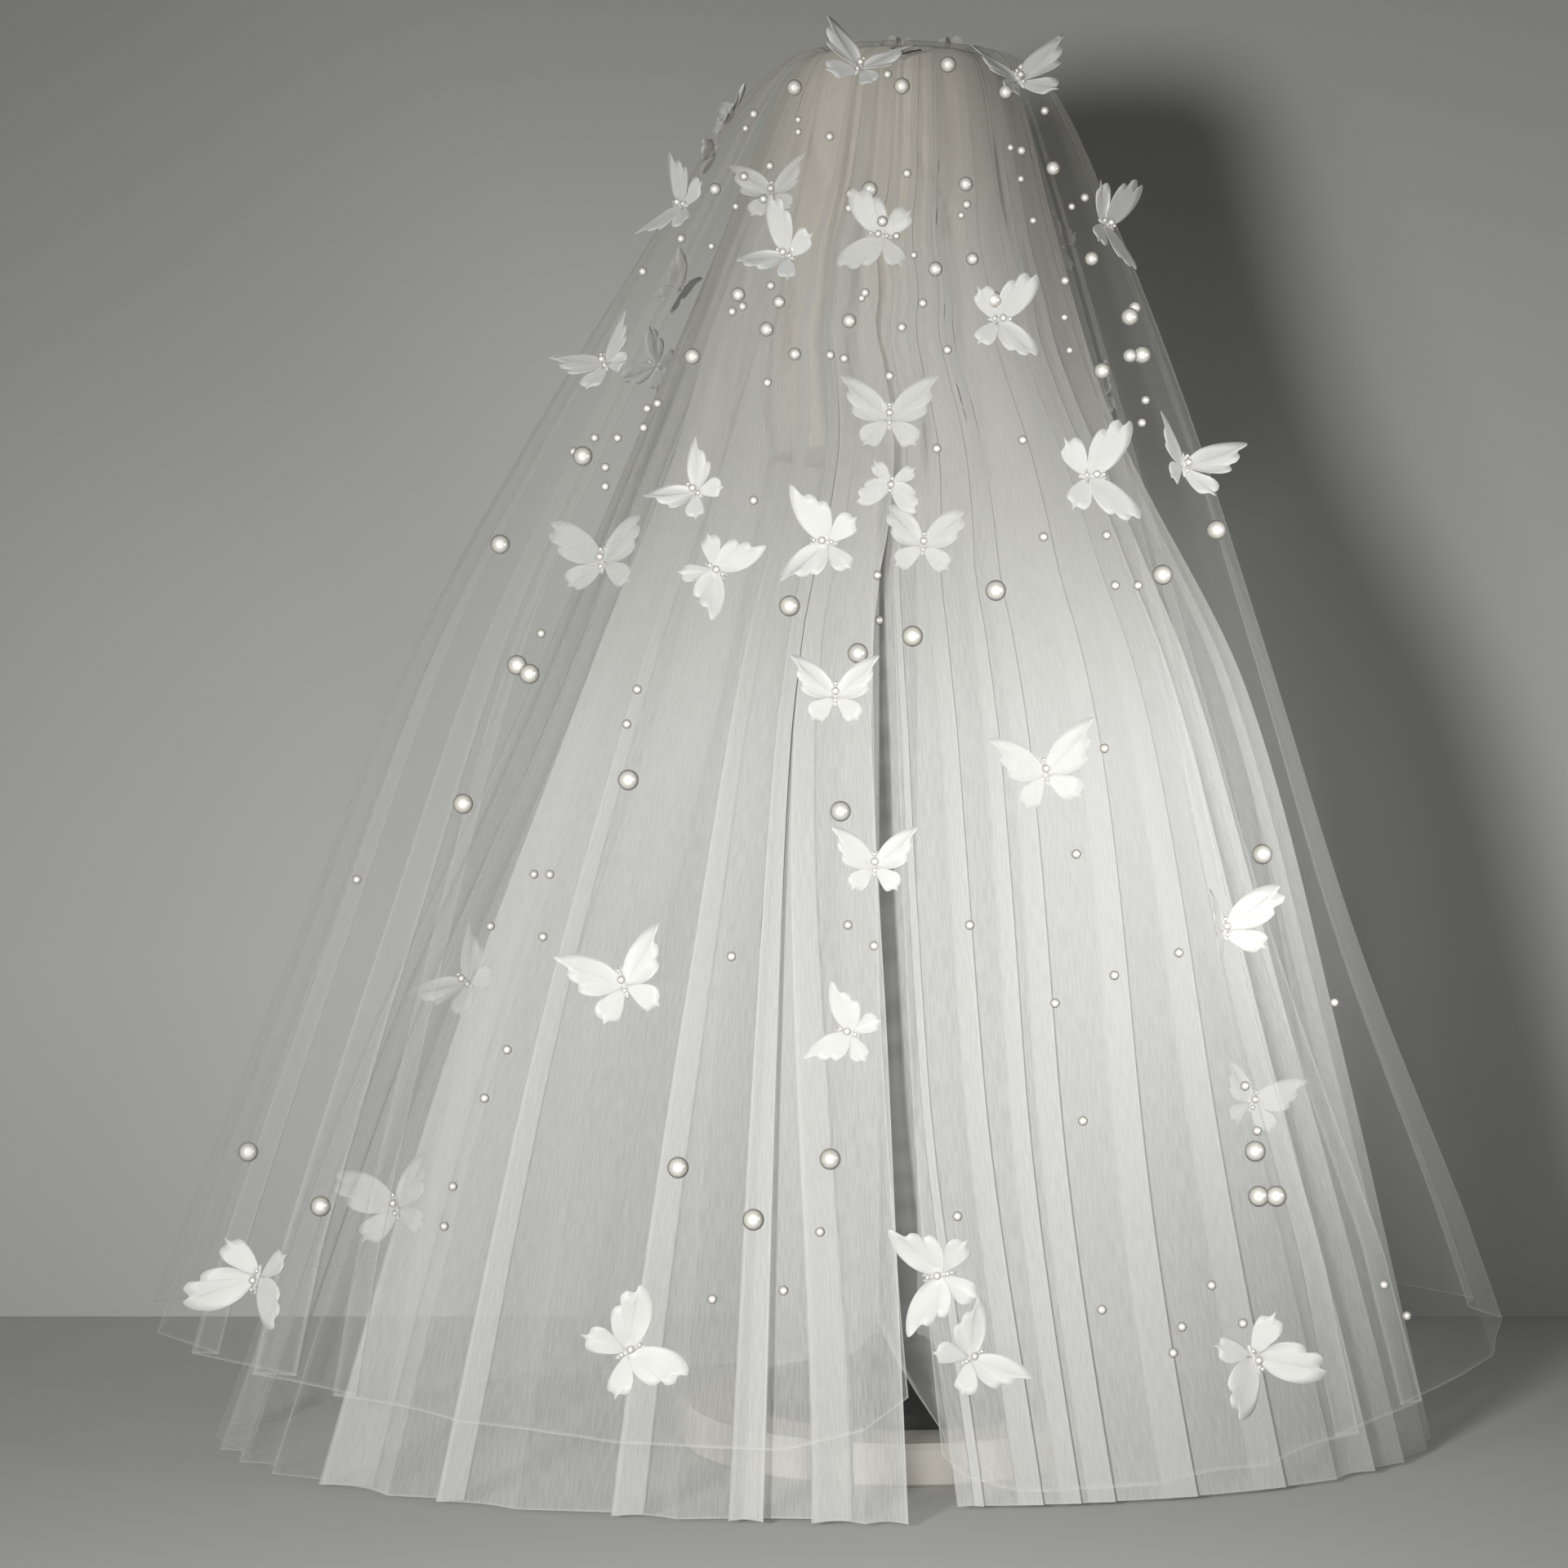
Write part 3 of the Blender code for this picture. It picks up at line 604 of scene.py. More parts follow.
def satin(name, sheer=0.0):
    """Fine white satin organza, with a close weave and soft clouding."""
    make = Nodes(name)
    place = make.place()
    weave = make.noise(place, 2600.0, 1.0)
    colour = make.mixed(make.noise(place, 90.0), (0.66, 0.66, 0.645), (0.74, 0.74, 0.725))
    make.fill(make.surface, {
        "Base Color": colour, "Roughness": make.ramp(weave, 0.3, 0.7, 0.42, 0.6),
        "Normal": make.bump(weave, 0.25, 0.00012), "Sheen Weight": 0.2, "Sheen Roughness": 0.35,
    })
    cloth = make.blend(0.15, make.surface.outputs[0], make.translucent(Color=colour))
    if sheer:
        gaps = make.ramp(weave, 0.3, 0.7, sheer - 0.1, sheer + 0.1)
        cloth = make.blend(gaps, cloth, make.clear())
    return make.showing(cloth)


def pearl(name):
    """A glassy coat over a cream body, with a painted highlight in its middle and painted shade
    deepening to its rim.
    """
    make = Nodes(name)
    clouds = make.noise(make.place(), 160.0, 1.0)
    facing = make.facing()
    colour = make.mixed(clouds, (0.58, 0.56, 0.51), (0.67, 0.65, 0.60))
    # painted highlight: near white where the surface faces the viewer
    colour = make.mixed(make.ramp(facing, 0.03, 0.16), (0.93, 0.92, 0.88), colour)
    # painted shade: darker towards the rim
    colour = make.mixed(make.ramp(facing, 0.28, 0.74), colour, (0.22, 0.21, 0.185))
    make.fill(make.surface, {
        "Base Color": colour, "Roughness": 0.25, "Specular IOR Level": 1.0,
        "Coat Weight": 1.0, "Coat Roughness": 0.12, "Normal": make.bump(clouds, 0.05, 0.0004),
    })
    return make.material


def painted(name, dark, light, roughness, grain=700.0, metallic=0.0):
    make = Nodes(name)
    place = make.place()
    fine = make.noise(place, grain)
    make.fill(make.surface, {
        "Base Color": make.mixed(make.noise(place, 28.0, 3.0), dark, light),
        "Roughness": make.ramp(fine, 0.3, 0.7, *roughness),
        "Normal": make.bump(fine, 0.12, 0.0002), "Metallic": metallic,
    })
    return make.material


def linen(name):
    make = Nodes(name)
    place = make.place()
    x, y, z = make.axes(place)
    round_threads = make.maths("SINE", make.maths("MULTIPLY", make.maths("ARCTAN2", y, x), 380.0))
    up_threads = make.maths("SINE", make.maths("MULTIPLY", z, 5200.0))
    weave = make.maths("MULTIPLY", round_threads, up_threads)
    slubs = make.noise(make.vector("MULTIPLY", place, (60.0, 60.0, 600.0)), 1.0)
    shade = make.maths("ADD", make.maths("MULTIPLY", weave, 0.2), slubs)
    make.fill(make.surface, {
        "Base Color": make.mixed(shade, (0.52, 0.47, 0.40), (0.72, 0.67, 0.58)),
        "Roughness": 0.9, "Sheen Weight": 0.3, "Normal": make.bump(shade, 0.5, 0.0005),
    })
    return make.material


def backdrop(name, low, high, one_sided):
    """Plain studio paint in its low colour at the floor, going over with height into its high colour,
    which on the wall is a painted shade that darkens it overhead.
    """
    make = Nodes(name)
    place = make.place()
    # painted shade: the colour goes over to the high colour with height
    rise = make.ramp(make.axes(place)["Z"], *PAINTED_SHADE_HEIGHTS)
    cloud = make.maths("MULTIPLY", make.noise(place, 1.5), 0.08)
    make.fill(make.surface, {
        "Base Color": make.mixed(make.maths("ADD", rise, cloud), low, high),
        "Roughness": 0.85, "Specular IOR Level": 0.2,
        "Normal": make.bump(make.noise(place, 400.0, 1.0), 0.05, 0.0005),
    })
    if not one_sided:
        return make.material
    behind = make.add("NewGeometry").outputs["Backfacing"]
    return make.showing(make.blend(behind, make.surface.outputs[0], make.clear()))


# ---- The cloth ----


def point_attribute(cloth, name, values):
    layer = cloth.data.attributes.new(name, "FLOAT", "POINT")
    layer.data.foreach_set("value", np.asarray(values, np.float32).ravel())


def mark_net(cloth, grid, gathered, crease, outward):
    """What the net's material reads at each point of the cloth."""
    point_attribute(cloth, "gathered", gathered)
    point_attribute(cloth, "crease", crease)
    # where the net's painted shade sets in, higher up and at the crown
    point_attribute(cloth, "upper", ease(*UPPER_SHADE_HEIGHTS, grid[:, :, 2]))
    point_attribute(cloth, "crown", ease(*CROWN_SHADE_HEIGHTS, grid[:, :, 2]))
    layer = cloth.data.attributes.new("outward", "FLOAT_VECTOR", "POINT")
    layer.data.foreach_set("vector", np.asarray(outward, np.float32).ravel())


def lay_flat(cloth, grid, along):
    """The place of each point on the flat cloth, in metres, as its UV map."""
    across = np.pad(np.cumsum(steps(grid, 0)[:, -1]), (1, 0))
    flat = np.stack(np.broadcast_arrays(across[:, None], along), axis=2).reshape(-1, 2)
    corner = np.zeros(len(cloth.data.loops), np.int32)
    cloth.data.loops.foreach_get("vertex_index", corner)
    layer = cloth.data.uv_layers.new(name="cloth")
    layer.data.foreach_set("uv", flat[corner].astype(np.float32).ravel())


def back_folds(back):
    count = round((back.last - back.first) / back.spacing)
    folds = []
    for k in range(1, count):
        swing = SPACING_SWING * math.sin(2.1 * k + back.spacing)
        depth = BACK_FOLD_DEPTH + DEPTH_SWING * math.sin(1.7 * k + 0.5)
        overlap = BACK_OVERLAP * max(0.0, math.sin(2.7 * k + 1.1))
        angle = back.first + (back.last - back.first) * (k + swing) / count
        layers = np.interp(angle, *zip(*back.fullness))
        folds.append(Fold(angle, depth, overlap, 0, BACK_PRESS, layers))
    return tuple(folds)


def turned_column(fold, degrees, share, layers):
    """A column of the cloth that turns back by some degrees under a crest, at a share of the way."""
    press = fold.press
    if share:
        press *= UNDER_PRESS if share < UNDER_CREST else 0.0
    depth = fold.depth * share**TURN_ROUNDING
    return fold.angle + degrees * share, depth, fold.drift, press, layers


def tier_columns(folds, turned_in):
    """Each column's angle, depth at the hem, drift, pressing and fullness, along the cloth."""
    columns = []
    for before, fold, after in zip((folds[0], *folds), folds, folds[1:]):
        under = max(fold.overlap, 0.0)
        ahead = max(-after.overlap, 0.0)
        full = fold.layers
        if under:
            columns += [turned_column(fold, -under, share, before.layers) for share in TURN_SHARES]
        else:
            columns.append((fold.angle, 0.0, fold.drift, fold.press, full))
        start = fold.angle - under
        width = after.angle + ahead - start
        start_depth = fold.depth if under else 0.0
        end_depth = after.depth if ahead else 0.0
        sag = (fold.depth + after.depth) / 2 * (TURNED_SAG if under or ahead else PLAIN_SAG)
        edge = PRESSED_WIDTH / width
        for share in (0.0, edge, *PANEL_SHARES, 1 - edge, 1.0):
            if share == 0.0 and not under or share == 1.0 and not ahead:
                continue
            depth = start_depth * (1 - share) + end_depth * share + sag * math.sin(math.pi * share)
            drift = fold.drift * (1 - share) + after.drift * share
            press = max(
                fold.press * max(0.0, PRESSED_START - PRESSED_FALL * share / edge),
                after.press * max(0.0, PRESSED_START - PRESSED_FALL * (1 - share) / edge),
            )
            columns.append((start + width * share, depth, drift, press, full))
        if ahead:
            columns += [turned_column(after, ahead, share, full) for share in TURN_SHARES[:0:-1]]
    last = folds[-1]
    columns.append((last.angle, 0.0, 0.0, last.press, last.layers))
    columns += [(last.angle + past, depth, 0.0, 0.0, last.layers) for past, depth in turned_in]
    return np.array(columns)


def row_sizes(tier, height):
    """Each row's reach to every side and the places of its opening's edges."""
    keys = [level.height for level in tier.levels]
    sizes = {
        field: smooth_reading(keys, [getattr(level, field) for level in tier.levels], height)
        for field in Level._fields
    }
    if tier.opening:
        heights, middles, widths = zip(*tier.opening)
        middle = smooth_reading(heights, middles, height)
        half = smooth_reading(heights, widths, height) / 2
        above = ease(heights[-1] - OPENING_BLEND, heights[-1], height)
        for edge, place in (("edge_left", middle - half), ("edge_right", middle + half)):
            sizes[edge] = sizes[edge] * (1 - above) + place * above
    return sizes


def ring_point(sizes, angle):
    """Points of a column's rows, each at its own angle, and their outward ways in plan."""
    on_left = angle <= FULL_TURN / 2
    side = np.where(on_left, sizes["left"], sizes["right"])
    edge = np.where(on_left, -sizes["edge_left"], sizes["edge_right"])
    fore = np.where(on_left, sizes["front_left"], sizes["front_right"])
    from_front = np.where(on_left, angle, FULL_TURN - angle)
    start = np.degrees(np.arcsin(edge / side))
    turn = np.radians(start + (180 - start) * from_front / 180)
    fore = np.where(np.cos(turn) > 0, fore, sizes["back"])
    x = side * np.sin(turn)
    y = -fore * np.cos(turn)
    out_x = x / side**2
    out_y = y / fore**2
    length = np.hypot(out_x, out_y)
    way = np.where(on_left, -1.0, 1.0)
    return way * x, y, way * out_x / length, out_y / length


def wave(waves, turn, phase, height):
    """A wave round the tier that is closer in some places than in others."""
    sway = waves.sway * math.sin(waves.sways * turn + phase)
    return np.sin(waves.count * turn + sway + height * waves.slope)


def fading(count, turn, phase):
    """A share from 0 to 1 that comes and goes round the tier."""
    return 0.5 + 0.5 * math.sin(count * turn + phase)


def gathers_and_ripples(turn, height, top, phases):
    """How far one column's rows lie inward of the tier's form for its gathers and ripples."""
    depth = ease(*GATHER_FADE, height * MM) * GATHER_DEPTH * np.clip((top - height) / RING_BLEND, 0, 1)
    swell = np.exp(-(((height - RIPPLE_MIDDLE) / RIPPLE_REACH) ** 2)) * RIPPLE_DEPTH
    gathers = wave(GATHERS, turn, phases[0], height) * fading(GATHER_FADES, turn, phases[3])
    ripples = wave(RIPPLES, turn, phases[1], height)
    finer = wave(FINE_RIPPLES, turn, phases[2], height) * fading(RIPPLE_FADES, turn, phases[4])
    return depth * (1 - gathers) + swell * (2 - ripples - finer)


def dent_bell(dent, across, height):
    """How strongly a dent is felt by the rows of one column."""
    way = (dent.up - height) / (dent.up - dent.to_up)
    off = across - dent.across - (dent.to_across - dent.across) * way
    return np.exp(-((off / dent.width) ** 2)) * ease(*DENT_START, way) * (1 - ease(*DENT_END, way))


def hem_heights(tier, angle, height):
    """The heights of a column's rows, drawn below the knee to the hem's own height there."""
    if not tier.hem:
        return height
    knee, bottom = tier.levels[-2].height, tier.levels[-1].height
    end = np.interp(angle, *zip(*tier.hem))
    drawn = knee - (knee - end) * (knee - height) / (knee - bottom)
    return np.where(height < knee, drawn, height)


def running_mean(values, reach):
    """Each column's mean with its neighbours up to a reach of columns away."""
    count = 2 * reach + 1
    padded = np.pad(values, ((reach, reach), (0, 0)), "edge")
    return np.stack([np.convolve(row, np.ones(count) / count, "valid") for row in padded.T], axis=1)


def gathered_share(grid):
    """How much closer the threads lie at each point than at the hem."""
    across = steps(grid, 0)
    ratio = np.clip(across[:, -1:] / np.maximum(across, LEAST_STEP), *GATHERED_LIMITS)
    ratio = np.pad(ratio, ((1, 1), (0, 0)), "edge")
    return running_mean((ratio[1:] + ratio[:-1]) / 2, GATHERED_REACH)


def make_tier(tier, material):
    """A gathered sheet on its solid's form, with finer gathers near its ring."""
    columns = tier_columns(tier.left_folds + back_folds(tier.back) + tier.right_folds, tier.turned_in)
    top, bottom = tier.levels[0].height, tier.levels[-1].height
    share = np.linspace(0, 1, TIER_ROWS - 1) ** ROW_CROWDING * (1 - HEM_LINE / (top - bottom))
    share = np.append(share, 1.0)
    height = top - (top - bottom) * share
    sizes = row_sizes(tier, height)
    growth = share**FOLD_GROWTH
    drifted = ease(0.0, DRIFT_RISE, (height - bottom) * MM)
    phases = np.random.default_rng(tier.seed).uniform(0, math.tau, 5)
    points = []
    outward = []
    thinned = np.ones((len(columns), TIER_ROWS))
    for k, (angle, depth, drift) in enumerate(columns[:, :3]):
        past = max(angle - FULL_TURN, 0.0)
        rounded = ease(*TURNED_IN_ROUND, height * MM) ** CORNER_CURVE if past else 1.0
        turned = np.maximum(angle - past * (1 - rounded) + drift * drifted, 0)
        x, y, out_x, out_y = ring_point(sizes, turned)
        waves = gathers_and_ripples(math.radians(angle), height, top, phases)
        inward = depth * rounded * growth + waves
        for dent in tier.dents:
            bell = dent_bell(dent, x, height) * (y < 0)
            inward += dent.depth * bell
            thinned[k] -= dent.thin * bell
        z = hem_heights(tier, angle, height)
        points.append(np.stack([x - inward * out_x, y - inward * out_y, z], axis=1))
        outward.append(np.stack([out_x, out_y, np.full_like(out_x, OUTWARD_RISE)], axis=1))
    grid = np.array(points) * MM
    cloth = add_mesh(tier.name, grid.reshape(-1, 3), grid_faces(*grid.shape[:2]), material)
    pressing, layers = columns[:, 3], columns[:, 4]
    gathered = gathered_share(grid)
    gathered *= 1 + np.outer(layers - 1, ease(0.0, FULLNESS_RISE, share))
    gathered *= np.clip(thinned, LEAST_FULL, 1.0)
    crease = np.outer(pressing, growth)
    crease[:, -1] = EDGE_CREASE
    crease[0, :] = crease[-1, :] = 1.0 - EDGE_CREASE * ease(*EDGE_SOFTENS, height * MM)
    mark_net(cloth, grid, gathered, crease, outward)
    lay_flat(cloth, grid, np.pad(np.cumsum(steps(grid, 1), axis=1), ((0, 0), (1, 0))))
    cloth.visible_diffuse = False
    cloth.visible_glossy = False
    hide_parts(tier.node)
    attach(cloth, BODY)
    return cloth


def make_heading(material):
    """The gathered top edge of the tulle that stands up over the comb."""
    ups = np.linspace(0, 1, HEADING_ROWS)
    sway = smooth_reading(*zip(*HEADING_SWAY), ups)
    points = []
    for share in np.linspace(0, 1, HEADING_COLUMNS):
        turn = math.tau * HEADING_WAVES * share
        wave_y = math.sin(turn + 0.5 * math.sin(5 * share))
        frill = HEADING_FRILL * math.sin(3.3 * turn + 1)
        top = HEADING_TOP + HEADING_UNEVEN * math.sin(2.3 * math.tau * share + 0.8)
        top += HEADING_FINE_UNEVEN * math.sin(2 * turn + 0.4)
        for up, reach in zip(ups, sway):
            x = HEADING_HALF * (2 * share - 1) + HEADING_LEAN * up * up * math.cos(turn)
            y = reach * wave_y + frill * up + HEADING_MIDDLE_Y
            points.append((x, y, HEADING_BOTTOM + (top - HEADING_BOTTOM) * up))
    grid = np.array(points).reshape(HEADING_COLUMNS, HEADING_ROWS, 3) * MM
    faces = grid_faces(HEADING_COLUMNS, HEADING_ROWS)
    cloth = add_mesh("heading_frill", grid.reshape(-1, 3), faces, material)
    gathered = np.tile(HEADING_GATHERED - HEADING_LOOSENS * ups, (HEADING_COLUMNS, 1))
    crease = np.zeros_like(gathered)
    crease[:, -1] = EDGE_CREASE
    mark_net(cloth, grid, gathered, crease, np.tile(HEADING_OUTWARD, (gathered.size, 1)))
    lay_flat(cloth, grid, ups[None, :] * (HEADING_TOP - HEADING_BOTTOM) * MM)
    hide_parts("heading_ruffle")
    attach(cloth, BODY)
    return cloth


def make_wire(tree, material):
    """A short round wire through the path's points, just over the cloth."""
    curve = bpy.data.curves.new("comb_wire_end", "CURVE")
    curve.dimensions = "3D"
    curve.bevel_depth = WIRE_RADIUS
    curve.bevel_resolution = 2
    line = curve.splines.new("BEZIER")
    line.resolution_u = 5
    line.bezier_points.add(len(WIRE_PATH) - 1)
    for point, (across, up) in zip(line.bezier_points, WIRE_PATH):
        beside = line_hit(tree, WIRE_BESIDE, up, "front")
        sight = Vector((across * MM, 0, up * MM)) - CAMERA_AT
        point.co = CAMERA_AT + sight * ((beside.y - WIRE_LIFT - CAMERA_AT.y) / sight.y)
        point.handle_left_type = point.handle_right_type = "AUTO"
    shape = add_thing("wire_shape", curve)
    mesh = bpy.data.meshes.new_from_object(shape)
    bpy.data.objects.remove(shape)
    mesh.materials.clear()
    mesh.materials.append(material)
    mesh.shade_smooth()
    wire = add_thing("comb_wire_end", mesh)
    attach(wire, BODY)


# ---- The butterflies and pearls ----


def smoothed(outline):
    """A closed outline through the given points, rounded between them."""
    points = [Vector((x / 100, y / 100)) for x, y in outline]
    made = []
    for k in range(len(points)):
        p0, p1, p2, p3 = (points[(k + j) % len(points)] for j in (-1, 0, 1, 2))
        for step in range(WING_STEPS):
            t = step / WING_STEPS
            made.append(
                0.5 * (2 * p1 + (p2 - p0) * t + (2 * p0 - 5 * p1 + 4 * p2 - p3) * t * t
                       + (3 * p1 - p0 - 3 * p2 + p3) * t**3)
            )
    return made


def wing(outline, mirror, lift, curl):
    """One wing as a fan of rings round its root: points in half spans, and faces."""
    rim = smoothed(outline)
    points = [Vector((WING_ROOT.x * mirror, WING_ROOT.y, WING_ROOT.x * lift))]
    for ring in range(1, WING_RINGS + 1):
        share = ring / WING_RINGS
        for k, corner in enumerate(rim):
            flat = WING_ROOT.lerp(corner, share)
            z = flat.x * lift + curl * share * share * (0.5 + 0.5 * math.sin(0.2 * k + 9 * curl))
            z += WING_WAVE * math.sin(5 * flat.x + 4 * flat.y)
            points.append(Vector((flat.x * mirror, flat.y, z)))
    faces = fan_faces(len(rim), WING_RINGS)
    if mirror > 0:
        faces = [tuple(reversed(face)) for face in faces]
    return points, faces


def fan_faces(count, rings):
    """The faces of rings of points round point 0, which is their middle or their top."""
    faces = []
    for k in range(count):
        after = (k + 1) % count
        faces.append((0, 1 + k, 1 + after))
        for inner in range(1, 1 + (rings - 1) * count, count):
            outer = inner + count
            faces.append((inner + k, outer + k, outer + after, inner + after))
    return faces


def ball(centre, radii, turns=10, rings=6):
    """A small ellipsoid: points and faces."""
    points = [centre + Vector((0, 0, radii[2]))]
    for ring in range(1, rings):
        down = math.pi * ring / rings
        for k in range(turns):
            turn = math.tau * k / turns
            way = (math.sin(down) * math.cos(turn), math.sin(down) * math.sin(turn), math.cos(down))
            points.append(centre + Vector(radius * part for radius, part in zip(radii, way)))
    points.append(centre - Vector((0, 0, radii[2])))
    last = len(points) - 1
    faces = fan_faces(turns, rings - 1)
    for k in range(turns):
        faces.append((last, last - turns + (k + 1) % turns, last - turns + k))
    return points, faces


def join(parts):
    """Several (points, faces) as one."""
    points = []
    faces = []
    for more, theirs in parts:
        start = len(points)
        points += more
        faces += [tuple(index + start for index in face) for face in theirs]
    return points, faces


def outward_at(levels, hit):
    """The outward direction of a tier at a point of it, its folds ignored."""
    at = next((k for k, level in enumerate(levels) if level.height * MM < hit.z), len(levels) - 1)
    above, below = levels[at - 1], levels[at]
    side = "left" if hit.x < 0 else "right"
    fore = "back" if hit.y > 0 else f"front_{side}"
    reach_x = getattr(below, side) * MM
    reach_y = getattr(below, fore) * MM
    plan = Vector((hit.x / reach_x**2, hit.y / reach_y**2, 0)).normalized()
    fall = (above.height - below.height) * MM
    grow_x = reach_x - getattr(above, side) * MM
    grow_y = reach_y - getattr(above, fore) * MM
    spread = math.hypot(grow_x * plan.x, grow_y * plan.y)
    return Vector((plan.x * fall, plan.y * fall, spread)).normalized()


def butterfly_parts(number, row, turned, sight):
    """The wings and trunk in half spans. Wings that point away are lifted towards the front."""
    fore, hind = (PETAL_FORE, PETAL_HIND) if number in PETAL_WINGED else (SWALLOW_FORE, SWALLOW_HIND)
    rough = np.random.default_rng(100 + number)
    parts = []
    for mirror in (1, -1):
        away = (turned @ Vector((mirror, 0, 0))).dot(sight)
        lift = row.lift * rough.uniform(*LIFT_UNEVEN) + WING_TURN * away
        lift = min(max(lift, LIFT_LIMITS[0]), LIFT_LIMITS[1])
        parts.append(wing(hind, mirror, lift * HIND_LIFT, rough.uniform(0.0, HIND_CURL)))
        points, faces = wing(fore, mirror, lift, rough.uniform(0.0, FORE_CURL))
        parts.append(([point + FORE_OVER_HIND for point in points], faces))
    return parts + [ball(Vector(centre), radii) for centre, radii in TRUNK]


def make_butterfly(number, row, levels, node_tree, cloth_tree, material):
    """A butterfly where its solid is, seated on the cloth, and the pearls on its trunk."""
    hit = line_hit(node_tree, row.across, row.up, row.side)
    outward = outward_at(levels, hit)
    across = Vector((0, 0, 1)).cross(outward).normalized()
    turned = Matrix((across, outward.cross(across), outward)).transposed()
    turned = turned @ Matrix.Rotation(math.radians(row.turn), 3, "Z")
    half = row.span * MM / 2
    points, faces = join(butterfly_parts(number, row, turned, (hit - CAMERA_AT).normalized()))
    placed = [hit + turned @ (point * half) for point in points]
    rises = []
    for point in placed:
        found = cloth_tree.ray_cast(point + outward * SEAM_REACH, -outward, 2 * SEAM_REACH)[0]
        if found is not None:
            rises.append((point - found).dot(outward))
    lift_off = outward * (SEAM_GAP - min(rises))
    placed = [point + lift_off for point in placed]
    thing = add_mesh(f"butterfly_{number:02d}_cloth", placed, faces, material)
    wall = thing.modifiers.new("wall", "SOLIDIFY")
    wall.thickness = WING_WALL
    wall.offset = 0.0
    thing.visible_shadow = False
    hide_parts(f"butterfly_{number:02d}")
    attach(thing, BODY)
    pearls = []
    for along, up, radius in TRUNK_PEARLS:
        centre = hit + lift_off + turned @ (Vector((0, along, up)) * half)
        pearls.append(ball(centre, (radius * MM,) * 3, *TRUNK_PEARL))
    return thing, pearls


def pearls_on(rows, tree, levels):
    parts = []
    for row in rows:
        hit = line_hit(tree, row.across, row.up, "front")
        radius = row.size * MM / 2
        fineness = FINE_PEARL if row.size > LARGEST_PLAIN_PEARL else PLAIN_PEARL
        parts.append(ball(hit + outward_at(levels, hit) * radius, (radius,) * 3, *fineness))
    return parts


# ---- Put together ----


def set_render():
    scene = bpy.context.scene
    scene.view_settings.view_transform = "Standard"
    for name, value in RENDER_SETTINGS.items():
        setattr(scene.cycles, name, value)


def make_camera():
    camera = add_thing("camera", bpy.data.cameras.new("camera"))
    camera.data.lens = CAMERA_LENS
    camera.data.sensor_width = CAMERA_SENSOR
    camera.location = CAMERA_AT
    camera.rotation_euler = (math.pi / 2, 0, 0)
    bpy.context.scene.camera = camera


def make_lights():
    for row in LIGHTS:
        data = bpy.data.lights.new(row.name, "AREA")
        data.shape = "DISK"
        data.size = row.size
        data.spread = math.radians(row.spread)
        data.energy = row.power
        data.color = row.colour
        lamp = add_thing(row.name, data)
        lamp.location = row.at
        way = Vector(row.aim) - lamp.location
        lamp.rotation_euler = way.to_track_quat("-Z", "Y").to_euler()
        lamp.visible_camera = False
    world = bpy.data.worlds.new("studio")
    world.use_nodes = True
    world.node_tree.nodes["Background"].inputs["Color"].default_value = (*WORLD_GREY, 1.0)
    bpy.context.scene.world = world


def make_stage():
    """The floor and the wall behind, which is clear from its other side."""
    flat = [(FLOOR_HALF * x, FLOOR_HALF * y, 0) for x, y in SQUARE]
    upright = [(WALL_HALF * x, WALL_Y, WALL_HEIGHT * (y + 1) / 2) for x, y in SQUARE]
    floor = add_mesh("floor", flat, [(0, 1, 2, 3)], backdrop("floor_paint", *FLOOR_PAINT, False))
    wall = add_mesh("wall", upright, [(0, 1, 2, 3)], backdrop("wall_paint_and_shade", *WALL_PAINT_AND_SHADE, True))


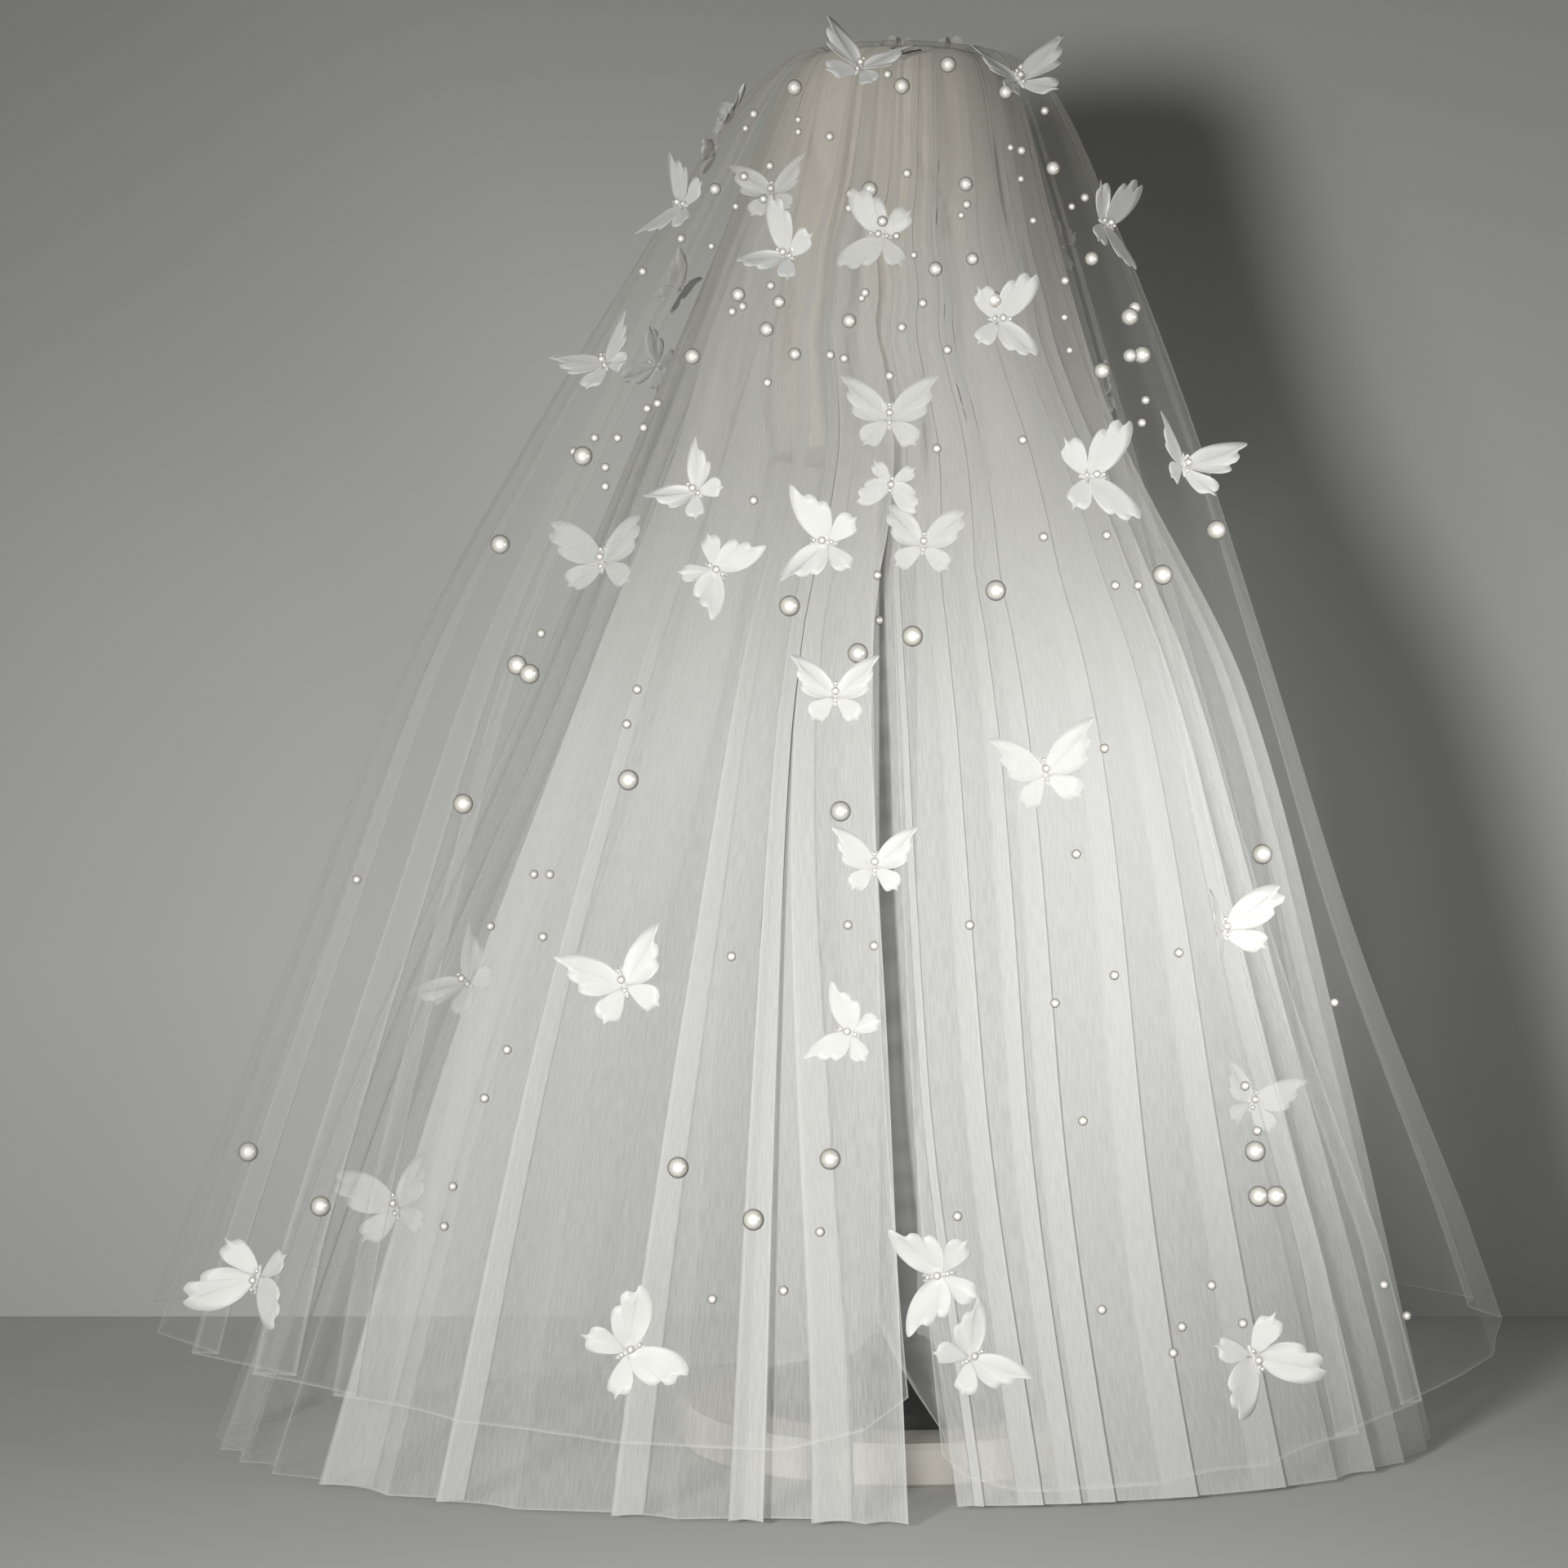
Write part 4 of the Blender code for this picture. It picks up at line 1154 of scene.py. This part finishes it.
def dress_stand():
    """Finishes for the solids that show as they are. The comb's is also its wire's."""
    charcoal = painted("charcoal_paint", (0.035, 0.035, 0.034), (0.06, 0.06, 0.057), (0.4, 0.6))
    dark_wire = painted("dark_wire", (0.03, 0.03, 0.03), (0.06, 0.06, 0.058), (0.3, 0.45), 900.0, 0.6)
    finishes = {
        "stand_foot": painted("cream_paint", (0.66, 0.62, 0.54), (0.76, 0.73, 0.66), (0.35, 0.5)),
        "stand_weight": charcoal,
        "stand_pole": painted("pole_paint", (0.05, 0.05, 0.048), (0.085, 0.085, 0.08), (0.35, 0.5)),
        "stand_block": linen("beige_linen"),
        "comb": dark_wire,
    }
    for name, material in finishes.items():
        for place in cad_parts[name].material_slots:
            place.material = material
    return dark_wire


def sew_on_butterflies(tiers, cloth_trees):
    """All butterflies, by the tier that they are on, and the pearls on their trunks."""
    node_trees = {side: search_tree(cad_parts[tier.node]) for side, tier in tiers.items()}
    white = satin("white_satin")
    organza = dict.fromkeys(SHEER, satin("sheer_organza", 0.62))
    organza |= dict.fromkeys(HALF_SHEER, satin("half_sheer_organza", 0.35))
    sewn = {"long": [], "short": []}
    pearls = []
    for number, row in enumerate(BUTTERFLIES, 1):
        thing, more = make_butterfly(
            number, row, tiers[row.tier].levels, node_trees[row.tier], cloth_trees[row.tier],
            organza.get(number, white),
        )
        sewn[row.tier].append(thing)
        pearls += more
    return sewn, pearls


def main():
    set_render()
    make_camera()
    make_lights()
    make_stage()
    comb_finish = dress_stand()
    heading = make_heading(tulle("heading_tulle", HEADING_COVER))
    long_tier = make_tier(LONG_TIER, tulle("inner_tulle", LONG_COVER))
    short_tier = make_tier(SHORT_TIER, tulle("outer_tulle", SHORT_COVER))
    cloth_trees = {"long": search_tree(long_tier), "short": search_tree(short_tier)}
    make_wire(cloth_trees["short"], comb_finish)
    sewn, trunk_pearls = sew_on_butterflies({"long": LONG_TIER, "short": SHORT_TIER}, cloth_trees)
    pearl_with_painted_glint = pearl("cream_pearl")
    beads = {}
    for name, parts in (
        ("outer_pearls", pearls_on(OUTER_PEARLS, cloth_trees["short"], SHORT_LEVELS)),
        ("inner_pearls", pearls_on(INNER_PEARLS, cloth_trees["long"], LONG_LEVELS)),
        ("wing_pearls", trunk_pearls),
    ):
        beads[name] = add_mesh(name, *join(parts), pearl_with_painted_glint)
        beads[name].visible_shadow = False
        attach(beads[name], BODY)


main()
